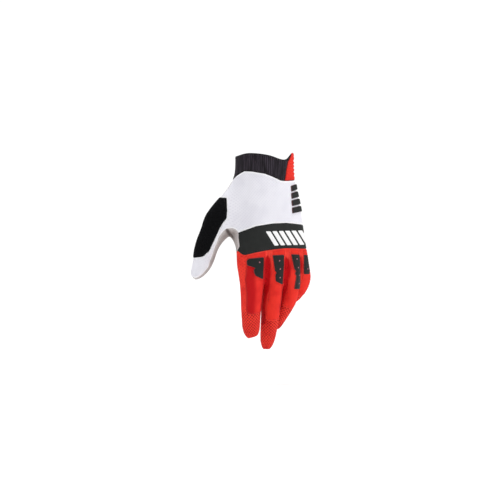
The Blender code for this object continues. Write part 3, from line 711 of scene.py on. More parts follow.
def one_finger_back(points, name):
    finger = round_finger(points, name)
    angle = np.abs(finger["angle"])
    corner = BACK_CORNER * HALF_WIDTH
    slope = np.maximum(np.cos(np.radians(angle)), 0.45)
    aside = (np.abs(finger["sideways"]) - BACK_CLOTH * finger["half_width"]) / slope + corner
    below = (finger["drop"] - BACK_ENDS[name]) * GLOVE_LENGTH + corner
    both = (aside > 0) & (below > 0)
    inside = corner - np.where(both, np.hypot(aside, below), np.maximum(aside, below))
    round_side = -np.abs(arc(angle - 60, finger["radius"]))
    return np.where(angle > 85, round_side, inside)


def patch_field(points, region):
    return outline_distance(THUMB_PATCH, *slanted(points))


FIELDS = {
    "cuff": cuff_field,
    "hem": hem_field,
    "gusset": gusset_field,
    "palm": palm_field,
    "band_top": band_field(BAND_TOP),
    "band_bottom": band_field(BAND_BOTTOM),
    "finger_back": finger_back_field,
    "patch": patch_field,
}
# Columns of the table that holds the skin's vertices: place, normal, fields, distance to the
# panel's edge, and the place after folds and turned edges.
PLACE, NORMAL = slice(0, 3), slice(3, 6)
COLUMN = {name: 6 + i for i, name in enumerate(FIELDS)}
EDGE = 6 + len(FIELDS)
SHOWN = slice(EDGE + 1, EDGE + 4)
WIDTH = EDGE + 4


def smooth_skin(cage, level):
    """The skin as a table of vertices and a list of (region, corners)."""
    mesh = bpy.data.meshes.new("skin")
    cage.to_mesh(mesh)
    holder = put_object("skin", mesh)
    smooth = holder.modifiers.new("skin", "SUBSURF")
    smooth.levels = level
    smooth.render_levels = level
    bpy.context.view_layer.update()
    evaluated = holder.evaluated_get(bpy.context.evaluated_depsgraph_get())
    skin = evaluated.to_mesh()
    count = len(skin.vertices)
    rows = np.zeros((count, WIDTH))
    flat = np.zeros(count * 3)
    skin.vertices.foreach_get("co", flat)
    rows[:, PLACE] = flat.reshape(-1, 3)
    skin.vertices.foreach_get("normal", flat)
    rows[:, NORMAL] = flat.reshape(-1, 3)
    faces = [(face.material_index, tuple(face.vertices)) for face in skin.polygons]
    evaluated.to_mesh_clear()
    bpy.data.objects.remove(holder)
    bpy.data.meshes.remove(mesh)
    lay_fields(rows, faces)
    return rows, faces


def lay_fields(rows, faces):
    """Fill in every field, and make it even where a finger or the thumb meets the hand."""
    corners = np.array([corners for _, corners in faces])
    regions = np.array([region for region, _ in faces])
    total = np.zeros(len(rows))
    sums = {name: np.zeros(len(rows)) for name in FIELDS}
    for number, region in enumerate(REGIONS):
        mine = np.unique(corners[regions == number])
        total[mine] += 1
        for name, field in FIELDS.items():
            sums[name][mine] += field(rows[mine, PLACE], region)
    starts, ends = corners.ravel(), np.roll(corners, -1, axis=1).ravel()
    near = total > 1
    for _ in range(BLEND_RINGS):
        grown = near.copy()
        grown[ends[near[starts]]] = True
        grown[starts[near[ends]]] = True
        near = grown
    size = len(rows)
    degree = np.bincount(starts, minlength=size) + np.bincount(ends, minlength=size)
    for name in FIELDS:
        values = sums[name] / total
        if name in BLENDED:
            for _ in range(BLEND_STEPS):
                around = np.bincount(starts, values[ends], size)
                around += np.bincount(ends, values[starts], size)
                values = np.where(near, around / degree, values)
        rows[:, COLUMN[name]] = values


def split(rows, faces, column, level=0.0):
    """Cut the faces along the line where a column has one value; both sides stay joined."""
    here = rows[:, column] - level
    side = np.where(np.abs(here) < 1e-7, 0, np.sign(here)).astype(int).tolist()
    made = {}
    count = len(rows)
    result = []
    for region, face in faces:
        signs = [side[v] for v in face]
        if min(signs) >= 0 or max(signs) <= 0:
            result.append((region, face))
            continue
        above, below = [], []
        for a, b in round_pairs(face):
            if side[a] >= 0:
                above.append(a)
            if side[a] <= 0:
                below.append(a)
            if side[a] * side[b] < 0:
                key = (min(a, b), max(a, b))
                new = made.setdefault(key, count + len(made))
                above.append(new)
                below.append(new)
        result += [(region, tuple(part)) for part in (above, below) if len(part) > 2]
    if made:
        a, b = np.array(list(made)).T
        share = (here[a] / (here[a] - here[b]))[:, None]
        new = rows[a] * (1 - share) + rows[b] * share
        new[:, NORMAL] /= np.linalg.norm(new[:, NORMAL], axis=1)[:, None]
        new[:, column] = level
        rows = np.vstack([rows, new])
    return rows, result


def parted(rows, faces, column):
    """The rows, and the faces above and below zero of a field."""
    rows, faces = split(rows, faces, column)
    values = rows[:, column].tolist()
    above, below = [], []
    for region, face in faces:
        mean = sum(values[v] for v in face)
        (above if mean > 0 else below).append((region, face))
    return rows, above, below


def without_crumbs(faces):
    """The faces without the small loose bits that a seam line leaves beside it."""
    by_vertex = {}
    for number, (_, face) in enumerate(faces):
        for v in face:
            by_vertex.setdefault(v, []).append(number)
    waiting = set(range(len(faces)))
    kept = []
    while waiting:
        start = min(waiting)
        waiting.discard(start)
        piece, pending = [start], [start]
        while pending:
            for v in faces[pending.pop()][1]:
                for other in by_vertex[v]:
                    if other in waiting:
                        waiting.discard(other)
                        piece.append(other)
                        pending.append(other)
        if len(piece) > CRUMB:
            kept += piece
    return [faces[number] for number in sorted(kept)]


def kind_of(name):
    return "finger_back" if name.startswith("finger_back") else name


def sew_panels(rows, faces):
    """Cut the skin along its seams: the rows and a dictionary of panel name to faces."""
    panels = {}
    rows, wrist, hand = parted(rows, faces, COLUMN["cuff"])
    rows, panels["cuff_gusset"], panels["cuff"] = parted(rows, wrist, COLUMN["gusset"])
    rows, panels["palm_panel"], outer = parted(rows, hand, COLUMN["palm"])
    rows, lower, upper = parted(rows, outer, COLUMN["band_top"])
    rows, fingers, panels["knuckle_band"] = parted(rows, lower, COLUMN["band_bottom"])
    rows, panels["thumb_patch"], panels["back_panel"] = parted(rows, upper, COLUMN["patch"])
    rows, backs, panels["finger_sleeves"] = parted(rows, fingers, COLUMN["finger_back"])
    centres = {name: STATIONS[name][0]["centre"].x for name in FINGERS}
    for name in FINGERS:
        panels[f"finger_back_{name}"] = []
    for region, face in backs:
        name = REGIONS[region]
        if name not in FINGERS:
            x = float(np.mean(rows[list(face), 0]))
            name = min(FINGERS, key=lambda other: abs(x - centres[other]))
        panels[f"finger_back_{name}"].append((region, face))
    return rows, panels


def edge_distance(rows, edges):
    return np.min([sign * rows[:, COLUMN[name]] for name, sign in edges], axis=0)


def dents(points, normals):
    """How far the worn cloth stands from the smooth skin: folds drawn on the slanted plane."""
    across, drop = slanted(points)
    x, y = across * HALF_WIDTH, drop * GLOVE_LENGTH
    facing = normals @ AHEAD
    out = np.zeros(len(points))
    for side, x0, y0, x1, y1, height, width in FOLDS:
        ax, ay = x0 * HALF_WIDTH, y0 * GLOVE_LENGTH
        dx, dy = x1 * HALF_WIDTH - ax, y1 * GLOVE_LENGTH - ay
        share = np.clip(((x - ax) * dx + (y - ay) * dy) / (dx * dx + dy * dy), 0, 1)
        far = np.hypot(x - ax - share * dx, y - ay - share * dy)
        fade = np.sin(np.pi * np.clip(share, 0.04, 0.96)) ** 0.6
        seen = np.clip((facing if side == "back" else -facing) * 3 + 0.4, 0, 1)
        out += height * 1e-3 * np.exp(-((far / (width * 1e-3)) ** 2)) * fade * seen
    return out


def between_fingers(rows):
    """1 in the deep shade between two fingers, 0 where the cloth lies open to the light."""
    points = rows[:, PLACE]
    ahead = np.clip(rows[:, NORMAL] @ AHEAD / 0.2 + 0.5, 0, 1)
    across, drop = slanted(points)
    drawn = np.zeros(len(points))
    for outline in DEEPS:
        inside = 0.5 + outline_distance(outline, across, drop) / DEEP_EDGE
        drawn = np.maximum(drawn, np.clip(inside, 0, 1))
    clear = []
    for name in FINGERS:
        finger = round_finger(points, name)
        clear.append(finger["radius"] - finger["half_width"])
    second = np.sort(clear, axis=0)[1]
    close = np.clip(1 - second / 0.0045, 0, 1) * np.clip((drop - 0.53) / 0.04, 0, 1)
    return drawn * ahead + close * (1 - ahead)


def unevenness(points, size, seed):
    """Smooth noise between about -1 and 1, with lumps of one size."""
    shift = Vector((seed * 3.7, seed * 5.1, seed * 7.3))
    return np.array([noise.noise(Vector(p) / size + shift) for p in points])


def cloth_map(points, region):
    """Flat cloth coordinates in metres: round the part and along it, and the way round."""
    if region in STATIONS:
        finger = round_finger(points, region)
        radius = float(np.mean([s["half_width"] + s["half_depth"] for s in STATIONS[region]])) / 2
        return arc(finger["angle"], radius), finger["length"], 2 * math.pi * radius
    drop = -points[:, 2] / GLOVE_LENGTH
    rows = WRIST_ROWS + HAND_ROWS
    x = points[:, 0] - table_at(rows, drop, 0, 1) * HALF_WIDTH
    y = points[:, 1] - table_at(rows, drop, 0, 2) * HALF_DEPTH
    steps = np.linspace(-math.pi, math.pi, 721)
    shape = np.array([0.9 * HALF_WIDTH * np.sin(steps), 1.2 * HALF_DEPTH * np.cos(steps)])
    lengths = np.concatenate([[0], np.cumsum(np.hypot(*np.diff(shape)))])
    angle = np.arctan2(x / (0.9 * HALF_WIDTH), -y / (1.2 * HALF_DEPTH))
    return np.interp(angle, steps, lengths) - lengths[-1] / 2, drop * GLOVE_LENGTH, lengths[-1]


def mesh_piece(name, outer, inner, faces, rows, edge, material, hollow=None):
    """A closed piece from its faces, with an outer and an inner place for each vertex."""
    used = vertices_of(faces)
    new = {v: i for i, v in enumerate(used)}
    count = len(used)
    sides = {pair for _, face in faces for pair in round_pairs(face)}
    walls = []  # region, corners in the new piece, the skin's vertex at each
    for region, face in faces:
        back = face[::-1]
        walls.append((region, [new[v] for v in face], face))
        walls.append((region, [new[v] + count for v in back], back))
        for a, b in round_pairs(face):
            if (b, a) not in sides:
                corners = [new[b], new[a], new[a] + count, new[b] + count]
                walls.append((region, corners, (b, a, a, b)))
    mesh = bpy.data.meshes.new(name)
    places = np.vstack([outer[used], inner[used]])
    mesh.from_pydata(places.tolist(), [], [corners for _, corners, _ in walls])
    mesh.polygons.foreach_set("use_smooth", [True] * len(walls))
    chart = mesh.uv_layers.new(name="cloth")
    maps = {}
    for number in sorted({region for region, _ in faces}):
        maps[number] = cloth_map(rows[:, PLACE], REGIONS[number])
    coordinates = []
    for number, _, face in walls:
        around, along, whole = maps[number]
        first = around[face[0]]
        for v in face:
            u = around[v] + whole * round((first - around[v]) / whole)
            coordinates += (u, along[v])
    chart.data.foreach_set("uv", coordinates)
    seam = mesh.attributes.new("edge_mm", "FLOAT", "POINT")
    seam.data.foreach_set("value", np.tile(edge[used] * 1000, 2))
    # The share of painted shade by which the materials darken the cloth.
    if hollow is not None:
        depth = mesh.attributes.new("hollow", "FLOAT", "POINT")
        depth.data.foreach_set("value", np.tile(hollow[used], 2))
    mesh.update()
    mesh.materials.append(material)
    return put_object(name, mesh)


def make_panel(title, name, rows, faces, material):
    """One sewn panel: its cloth outside with turned-in edges, its back 1.4 mm further in."""
    faces = without_crumbs(faces)
    rise, depth, width = (size * 1e-3 for size in PROFILES[kind_of(name)])
    rows = rows.copy()
    rows[:, EDGE] = edge_distance(rows, EDGES[name])
    for step in PROFILE_STEPS:
        rows, faces = split(rows, faces, EDGE, step * width)
    edge = np.maximum(rows[:, EDGE], 0)
    turned = np.clip(1 - edge / width, 0, 1)
    lift = rise - (rise + depth) * (1 - np.sqrt(1 - turned**2))
    used = vertices_of(faces)
    folds = np.zeros(len(rows))
    folds[used] = dents(rows[used, PLACE], rows[used, NORMAL])
    # Share of painted shade, kept as the hollow attribute: between the fingers, and on the palm cloth
    # also in its folds.
    hollow = np.zeros(len(rows))
    hollow[used] = between_fingers(rows[used])
    if name == "palm_panel":
        hollow[used] = np.maximum(hollow[used], np.clip(folds[used] / -0.0016, 0, 1))
    lift += folds
    lift[used] += CLOTH_LUMPS * unevenness(rows[used, PLACE], LUMP_SIZE, 1.0)
    pucker = np.exp(-edge[used] / PUCKER_REACH) * PUCKER
    lift[used] += pucker * unevenness(rows[used, PLACE], PUCKER_SIZE, 2.0)
    if name == "cuff_gusset":
        drop = -rows[used, 2] + 0.0008 * unevenness(rows[used, PLACE], 0.006, 3.0)
        gather = np.clip((edge[used] - 0.001) / 0.003, 0, 1)
        lift[used] += GATHERS * gather * np.sin(drop * 2 * math.pi / GATHER_PITCH)
    outer = rows[:, PLACE] + rows[:, NORMAL] * lift[:, None]
    inner = rows[:, PLACE] + rows[:, NORMAL] * (np.minimum(folds, 0) - CLOTH)[:, None]
    piece = mesh_piece(title, outer, inner, faces, rows, edge, material, hollow)
    rows[:, SHOWN] = outer
    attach(piece, "root")
    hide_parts(name)
    return piece, (rows, faces)


def lay_on(name, base, outlines, height, corner, width, material, sunk=0.0002):
    """A piece that lies on a panel inside outlines that are drawn on the slanted plane."""
    rows, base_faces = base
    rows = rows.copy()
    seen = (rows[:, NORMAL] @ AHEAD).tolist()
    base_faces = [
        (region, face) for region, face in base_faces if min(seen[v] for v in face) > 0.02
    ]
    kept = []
    lift = np.zeros(0)
    for outline in outlines:
        rows[:, EDGE] = outline_distance(outline, *slanted(rows[:, PLACE]), corner)
        near = rows[:, EDGE].tolist()
        faces = [(region, face) for region, face in base_faces if max(near[v] for v in face) > 0]
        rows, faces = split(rows, faces, EDGE)
        inside = rows[:, EDGE].tolist()
        faces = [(region, face) for region, face in faces if sum(inside[v] for v in face) > 0]
        for step in PROFILE_STEPS:
            rows, faces = split(rows, faces, EDGE, step * width)
        own = {}
        for v in (v for _, face in faces for v in face):
            own.setdefault(v, len(rows) + len(own))
        turned = np.clip(1 - np.maximum(rows[list(own), EDGE], 0) / width, 0, 1)
        rows = np.vstack([rows, rows[list(own)]])
        lift = np.concatenate([lift, np.zeros(len(rows) - len(own) - len(lift))])
        lift = np.concatenate([lift, height * np.sqrt(1 - turned**2)])
        kept += [(region, tuple(own[v] for v in face)) for region, face in faces]
    outer = rows[:, SHOWN] + rows[:, NORMAL] * lift[:, None]
    inner = rows[:, SHOWN] - rows[:, NORMAL] * sunk
    piece = mesh_piece(name, outer, inner, kept, rows, np.maximum(rows[:, EDGE], 0), material)
    rows[:, SHOWN] = outer
    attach(piece, "root")
    return piece, (rows, kept)


def level_lines(rows, faces, level):
    """The lines on a panel at one distance from its edge, as lists of places."""
    here = (rows[:, EDGE] - level).tolist()
    links = {}
    for _, face in faces:
        ends = []
        for a, b in round_pairs(face):
            if (here[a] > 0) != (here[b] > 0):
                ends.append((min(a, b), max(a, b)))
        if len(ends) == 2:
            links.setdefault(ends[0], []).append(ends[1])
            links.setdefault(ends[1], []).append(ends[0])
    waiting = dict.fromkeys(sorted(links, key=lambda end: (len(links[end]), end)))
    lines = []
    while waiting:
        end = next(iter(waiting))
        line = []
        while end is not None:
            waiting.pop(end, None)
            line.append(end)
            end = next((other for other in links[end] if other in waiting), None)
        if len(line) > 8:
            if line[0] in links[line[-1]]:
                line.append(line[0])
            a, b = np.array(line).T
            here_a, here_b = rows[a, EDGE] - level, rows[b, EDGE] - level
            share = (here_a / (here_a - here_b))[:, None]
            places = rows[a] * (1 - share) + rows[b] * share
            lines.append(places[:, SHOWN] + places[:, NORMAL] * THREAD / 4)
    return lines


def linear(hex_colour):
    """An sRGB colour such as "#E6E5EC" as linear values with alpha."""
    values = []
    for i in (1, 3, 5):
        value = int(hex_colour[i:i + 2], 16) / 255
        values.append(value / 12.92 if value <= 0.04045 else ((value + 0.055) / 1.055) ** 2.4)
    return (*values, 1.0)


def add(tree, kind, inputs=None, **settings):
    """Add a node; inputs are values or the sockets that feed them."""
    made = tree.nodes.new(kind)
    for name, value in settings.items():
        setattr(made, name, value)
    for name, value in (inputs or {}).items():
        if isinstance(value, bpy.types.NodeSocket):
            tree.links.new(value, made.inputs[name])
        else:
            made.inputs[name].default_value = value
    return made


def run_modifier(source, tree, name, inputs):
    """The result of a node group on an object as a plain mesh object; the source is removed."""
    modifier = source.modifiers.new("nodes", "NODES")
    modifier.node_group = tree
    for item in tree.interface.items_tree:
        if item.in_out == "INPUT" and item.name in inputs:
            modifier[item.identifier] = inputs[item.name]
    bpy.context.view_layer.update()
    evaluated = source.evaluated_get(bpy.context.evaluated_depsgraph_get())
    mesh = bpy.data.meshes.new_from_object(evaluated)
    mesh.name = name
    bpy.data.objects.remove(source)
    return put_object(name, mesh)


def group_with(name, inputs):
    """A new geometry node group with named inputs: the tree, its input node and output node."""
    tree = bpy.data.node_groups.new(name, "GeometryNodeTree")
    tree.interface.new_socket("Geometry", in_out="INPUT", socket_type="NodeSocketGeometry")
    for label, kind in inputs:
        tree.interface.new_socket(label, in_out="INPUT", socket_type=kind)
    tree.interface.new_socket("Geometry", in_out="OUTPUT", socket_type="NodeSocketGeometry")
    return tree, tree.nodes.new("NodeGroupInput"), tree.nodes.new("NodeGroupOutput")


def finish_group(tree, given, output, instances):
    real = add(tree, "GeometryNodeRealizeInstances", {"Geometry": instances})
    dressed = add(tree, "GeometryNodeSetMaterial", {
        "Geometry": real.outputs["Geometry"], "Material": given.outputs["Material"],
    })
    tree.links.new(dressed.outputs["Geometry"], output.inputs["Geometry"])


def stitch_group():
    """Thread stitches along lines: each an oval of thread that lies along the seam."""
    tree, given, output = group_with("stitches", (
        ("Pitch", "NodeSocketFloat"), ("Length", "NodeSocketFloat"),
        ("Thread", "NodeSocketFloat"), ("Material", "NodeSocketMaterial"),
    ))
    curve = add(tree, "GeometryNodeMeshToCurve", {"Mesh": given.outputs["Geometry"]})
    points = add(tree, "GeometryNodeCurveToPoints", {
        "Curve": curve.outputs["Curve"], "Length": given.outputs["Pitch"],
    }, mode="LENGTH")
    oval = add(tree, "GeometryNodeMeshUVSphere", {"Segments": 6, "Rings": 5, "Radius": 0.5})
    size = add(tree, "ShaderNodeCombineXYZ", {
        "X": given.outputs["Thread"], "Y": given.outputs["Thread"], "Z": given.outputs["Length"],
    })
    placed = add(tree, "GeometryNodeInstanceOnPoints", {
        "Points": points.outputs["Points"], "Instance": oval.outputs["Mesh"],
        "Rotation": points.outputs["Rotation"], "Scale": size.outputs["Vector"],
    })
    finish_group(tree, given, output, placed.outputs["Instances"])
    return tree


def dot_group():
    """Flat domes on points, each turned to its point's own direction."""
    tree, given, output = group_with("dots", (
        ("Width", "NodeSocketFloat"), ("Height", "NodeSocketFloat"),
        ("Material", "NodeSocketMaterial"),
    ))
    up = add(tree, "GeometryNodeInputNamedAttribute", {"Name": "up"}, data_type="FLOAT_VECTOR")
    turned = add(tree, "FunctionNodeAlignRotationToVector", {
        "Vector": up.outputs["Attribute"],
    }, axis="Z")
    ball = add(tree, "GeometryNodeMeshUVSphere", {"Segments": 12, "Rings": 8, "Radius": 0.5})
    size = add(tree, "ShaderNodeCombineXYZ", {
        "X": given.outputs["Width"], "Y": given.outputs["Width"], "Z": given.outputs["Height"],
    })
    placed = add(tree, "GeometryNodeInstanceOnPoints", {
        "Points": given.outputs["Geometry"], "Instance": ball.outputs["Mesh"],
        "Rotation": turned.outputs["Rotation"], "Scale": size.outputs["Vector"],
    })
    finish_group(tree, given, output, placed.outputs["Instances"])
    return tree


def terry_group():
    """Small loops of yarn that stand on a surface, at random turns from a fixed seed."""
    tree, given, output = group_with("terry_loops", (
        ("Density", "NodeSocketFloat"), ("Height", "NodeSocketFloat"),
        ("Yarn", "NodeSocketFloat"), ("Seed", "NodeSocketInt"), ("Material", "NodeSocketMaterial"),
    ))
    spread = add(tree, "GeometryNodeDistributePointsOnFaces", {
        "Mesh": given.outputs["Geometry"], "Density": given.outputs["Density"],
        "Seed": given.outputs["Seed"],
    })
    spin = add(tree, "FunctionNodeRandomValue", {
        "Seed": given.outputs["Seed"],
    }, data_type="FLOAT_VECTOR")
    spin.inputs[0].default_value = (-0.5, -0.5, 0)
    spin.inputs[1].default_value = (0.5, 0.5, 6.283)
    turned = add(tree, "FunctionNodeRotateRotation", {
        "Rotation": spread.outputs["Rotation"], "Rotate By": spin.outputs[0],
    }, rotation_space="LOCAL")
    loop = add(tree, "GeometryNodeCurveArc", {
        "Resolution": 5, "Radius": 0.5, "Start Angle": 0.0, "Sweep Angle": math.pi,
    })
    upright = add(tree, "GeometryNodeTransform", {
        "Geometry": loop.outputs["Curve"], "Rotation": (math.pi / 2, 0, 0),
    })
    ring = add(tree, "GeometryNodeCurvePrimitiveCircle", {
        "Resolution": 4, "Radius": given.outputs["Yarn"],
    })
    yarn = add(tree, "GeometryNodeCurveToMesh", {
        "Curve": upright.outputs["Geometry"], "Profile Curve": ring.outputs["Curve"],
    })
    placed = add(tree, "GeometryNodeInstanceOnPoints", {
        "Points": spread.outputs["Points"], "Instance": yarn.outputs["Mesh"],
        "Rotation": turned.outputs["Rotation"], "Scale": given.outputs["Height"],
    })
    finish_group(tree, given, output, placed.outputs["Instances"])
    return tree


def loose_mesh(name, places, edges=()):
    mesh = bpy.data.meshes.new(name)
    mesh.from_pydata(places, list(edges), [])
    return put_object(name, mesh)


def sew(name, base, distance, tree, material):
    """A row of stitches on a panel, at one distance from its edge."""
    rows, faces = base
    places, edges = [], []
    for line in level_lines(rows, faces, distance):
        first = len(places)
        places += line.tolist()
        edges += [(i, i + 1) for i in range(first, len(places) - 1)]
    holder = loose_mesh(name, places, edges)
    piece = run_modifier(holder, tree, name, {
        "Pitch": STITCH_PITCH, "Length": STITCH_LENGTH, "Thread": THREAD, "Material": material,
    })
    smooth_shade(piece)
    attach(piece, "root")
    return piece


def smooth_shade(piece):
    piece.data.polygons.foreach_set("use_smooth", [True] * len(piece.data.polygons))


def add_dots(name, base, spots, tree, material):
    """Domes on a piece where spots of the slanted plane meet it."""
    rows, faces = base
    used = np.array(vertices_of(faces))
    across, drop = slanted(rows[used, PLACE])
    places, directions = [], []
    for a, d in spots:
        far = np.hypot((across - a) * HALF_WIDTH, (drop - d) * GLOVE_LENGTH)
        nearest = used[int(np.argmin(far))]
        places.append(rows[nearest, SHOWN].tolist())
        directions += rows[nearest, NORMAL].tolist()
    holder = loose_mesh(name, places)
    up = holder.data.attributes.new("up", "FLOAT_VECTOR", "POINT")
    up.data.foreach_set("vector", directions)
    piece = run_modifier(holder, tree, name, {
        "Width": DOT_WIDTH, "Height": DOT_HEIGHT, "Material": material,
    })
    smooth_shade(piece)
    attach(piece, "root")
    return piece


# Materials. Patterns are laid out on the cloth map, in metres. Ribs and wales have their real
# spacing; pores and mesh holes are about a third wider apart than real ones, so that they show.

SHADE_RED = "#B8000E"  # painted shade: the red cloth's colour in folds and between the fingers


def new_material(name, roughness, sheen, sheen_tint, specular):
    material = bpy.data.materials.new(name)
    material.use_nodes = True
    tree = material.node_tree
    inputs = tree.nodes["Principled BSDF"].inputs
    for label, value in (
        ("Roughness", roughness), ("IOR", 1.5), ("Specular IOR Level", specular),
        ("Sheen Weight", sheen), ("Sheen Roughness", 0.5), ("Sheen Tint", linear(sheen_tint)),
    ):
        inputs[label].default_value = value
    return material, tree


def cloth_place(tree, scale=1.0, turn=0.0):
    """The cloth map, scaled from metres to a pattern's own unit and turned."""
    chart = add(tree, "ShaderNodeUVMap", uv_map="cloth")
    return add(tree, "ShaderNodeMapping", {
        "Vector": chart.outputs["UV"], "Rotation": (0, 0, math.radians(turn)),
        "Scale": (scale, scale, scale),
    }).outputs["Vector"]


def lattice(tree, pitch, turn=45.0):
    """Distance to the nearest point of a square lattice, 0 at a point; turned to a diamond."""
    return add(tree, "ShaderNodeTexVoronoi", {
        "Vector": cloth_place(tree, 1 / pitch, turn), "Scale": 1.0, "Randomness": 0.0,
    }, voronoi_dimensions="2D", feature="F1").outputs["Distance"]


def ribs(tree, pitch):
    """A wave across the cloth map, from 0 to 1."""
    apart = add(tree, "ShaderNodeSeparateXYZ", {"Vector": cloth_place(tree)})
    turns = times(tree, apart.outputs["X"], 2 * math.pi / pitch)
    return calc(tree, "MULTIPLY_ADD", calc(tree, "SINE", turns), 0.5, 0.5)


def calc(tree, operation, *values):
    made = add(tree, "ShaderNodeMath", operation=operation)
    for socket, value in zip(made.inputs, values):
        if isinstance(value, bpy.types.NodeSocket):
            tree.links.new(value, socket)
        else:
            socket.default_value = value
    return made.outputs["Value"]


def grain(tree, size, detail=2.0, place=None):
    """Noise with lumps of a real size in metres, in object space."""
    if place is None:
        place = add(tree, "ShaderNodeTexCoord").outputs["Object"]
    return add(tree, "ShaderNodeTexNoise", {
        "Vector": place, "Scale": 1 / size, "Detail": detail, "Roughness": 0.6,
    }).outputs["Fac"]


def ramp(tree, value, low, high, to_low=0.0, to_high=1.0):
    return add(tree, "ShaderNodeMapRange", {
        "Value": value, "From Min": low, "From Max": high, "To Min": to_low, "To Max": to_high,
    }, interpolation_type="SMOOTHSTEP").outputs["Result"]


def blend(tree, low, high, share):
    """A colour between two, each a hex colour or a socket."""
    made = add(tree, "ShaderNodeMix", {"Factor": share}, data_type="RGBA")
    for index, value in ((6, low), (7, high)):
        if isinstance(value, str):
            made.inputs[index].default_value = linear(value)
        else:
            tree.links.new(value, made.inputs[index])
    return made.outputs[2]


def bump(tree, height, distance, strength, under=None):
    inputs = {"Height": height, "Distance": distance, "Strength": strength}
    if under is not None:
        inputs["Normal"] = under
    return add(tree, "ShaderNodeBump", inputs).outputs["Normal"]


def attribute(tree, name):
    return add(tree, "ShaderNodeAttribute", attribute_name=name).outputs["Fac"]


def times(tree, value, factor):
    return calc(tree, "MULTIPLY", value, factor)


def near_edge(tree, reach, share):
    """A share at the panel's sewn edge, 0 at a distance in millimetres."""
    return times(tree, ramp(tree, attribute(tree, "edge_mm"), 0.0, reach, 1.0, 0.0), share)


def painted_shade(tree):
    """Share of painted shade, from the hollow attribute: darker colour in folds and between the fingers.
    """
    return times(tree, attribute(tree, "hollow"), 0.95)


def dress(material, colour, normal=None, roughness=None):
    """Wire up the finished material's colour, normal and roughness."""
    links = material.node_tree.links
    inputs = material.node_tree.nodes["Principled BSDF"].inputs
    links.new(colour, inputs["Base Color"])
    if normal is not None:
        links.new(normal, inputs["Normal"])
    if roughness is not None:
        links.new(roughness, inputs["Roughness"])
    return material


def knit_mesh_white():
    """Fine polyester knit: small pores in diagonal rows, a lilac cast in the hollows of the cloth."""
    material, tree = new_material("white_knit_mesh", 0.85, 0.25, "#FFFFFF", 0.3)
    pore = ramp(tree, lattice(tree, 0.0024), 0.10, 0.34, 1.0, 0.0)
    lumps = grain(tree, 0.02)
    base = blend(tree, "#E8E7EE", "#E1E0E8", ramp(tree, lumps, 0.35, 0.7))
    dotted = blend(tree, base, "#BDBBCA", times(tree, pore, 0.27))
    trimmed = blend(tree, dotted, "#FCFCFD", near_edge(tree, 3.0, 0.85))
    yarn = bump(tree, grain(tree, 0.0005), 0.00008, 0.5)
    return dress(material, trimmed, bump(tree, calc(tree, "SUBTRACT", 1.0, pore), 0.0001, 0.5, yarn))


def rib_knit_black():
    """Ribbed elastic knit: fine upright ribs, with painted light on their crests in long streaks and
    painted shade between them.
    """
    material, tree = new_material("black_rib_knit", 0.9, 0.12, "#8C8694", 0.2)
    rib = ribs(tree, 0.0023)
    streaks = grain(tree, 1.0, 2.0, streak_place(tree))
    # Painted light and shade of the ribs: crests lighter, grooves dark.
    rib_shading = times(tree, rib, ramp(tree, streaks, 0.35, 0.65))
    colour = blend(tree, "#171318", "#413A44", rib_shading)
    colour = blend(tree, colour, "#100E11", near_edge(tree, 1.6, 1.0))
    yarn = bump(tree, grain(tree, 0.0006), 0.0001, 0.5)
    return dress(material, colour, bump(tree, rib, 0.0005, 0.8, yarn))


def streak_place(tree):
    """The cloth map drawn out along the part, for streaks that are 4 mm wide and 30 mm long."""
    chart = add(tree, "ShaderNodeUVMap", uv_map="cloth")
    return add(tree, "ShaderNodeMapping", {
        "Vector": chart.outputs["UV"], "Scale": (250.0, 33.0, 1.0),
    }).outputs["Vector"]


def jersey_red(name, bright, deep, edging="#F4594A", edging_share=0.5, index_shade=False):
    """Smooth stretch jersey: fine wales along the finger, painted shade in folds and between the fingers,
    and for the index finger painted shade on its back below the knuckle, towards the thumb.
    """
    material, tree = new_material(name, 0.8, 0.08, "#FF5A48", 0.12)
    wales = ribs(tree, 0.0009)
    lumps = grain(tree, 0.018)
    colour = blend(tree, bright, deep, ramp(tree, lumps, 0.4, 0.75, 0.0, 0.6))
    # Painted shade: the index finger's back is darker below the knuckle guard, towards the thumb.
    if index_shade:
        place = add(tree, "ShaderNodeTexCoord").outputs["Object"]
        height = add(tree, "ShaderNodeSeparateXYZ", {"Vector": place}).outputs["Z"]
        around = add(tree, "ShaderNodeSeparateXYZ", {"Vector": cloth_place(tree)}).outputs["X"]
        low = ramp(tree, height, -0.1185, -0.1245)
        shade_share = times(tree, low, ramp(tree, around, -0.004, 0.002, 1.0, 0.0))
        colour = blend(tree, colour, "#BC1217", shade_share)
    colour = blend(tree, colour, deep, times(tree, wales, 0.15))
    colour = blend(tree, colour, edging, near_edge(tree, 1.4, edging_share))
    # Painted shade in the folds and between the fingers.
    colour = blend(tree, colour, SHADE_RED, painted_shade(tree))
    yarn = bump(tree, grain(tree, 0.0005), 0.00006, 0.4)
    return dress(material, colour, bump(tree, wales, 0.00008, 0.5, yarn))


def open_mesh_red():
    """Coarse spacer mesh of the fingertips: dark diamond holes between bright red strands."""
    material, tree = new_material("red_open_mesh", 0.8, 0.08, "#FF5A48", 0.12)
    hole = ramp(tree, lattice(tree, 0.0026, 50.0), 0.16, 0.36, 1.0, 0.0)
    hole = times(tree, hole, attribute(tree, "mesh_shown"))
    base = blend(tree, "#EC3B2F", "#D92B26", ramp(tree, grain(tree, 0.015), 0.4, 0.7))
    base = blend(tree, base, "#F4594A", near_edge(tree, 1.0, 0.3))
    # Painted shade in the folds and between the fingers.
    base = blend(tree, base, SHADE_RED, painted_shade(tree))
    colour = blend(tree, base, "#74060C", hole)
    yarn = bump(tree, grain(tree, 0.0005), 0.00006, 0.4)
    return dress(material, colour, bump(tree, calc(tree, "SUBTRACT", 1.0, hole), 0.0004, 0.8, yarn))


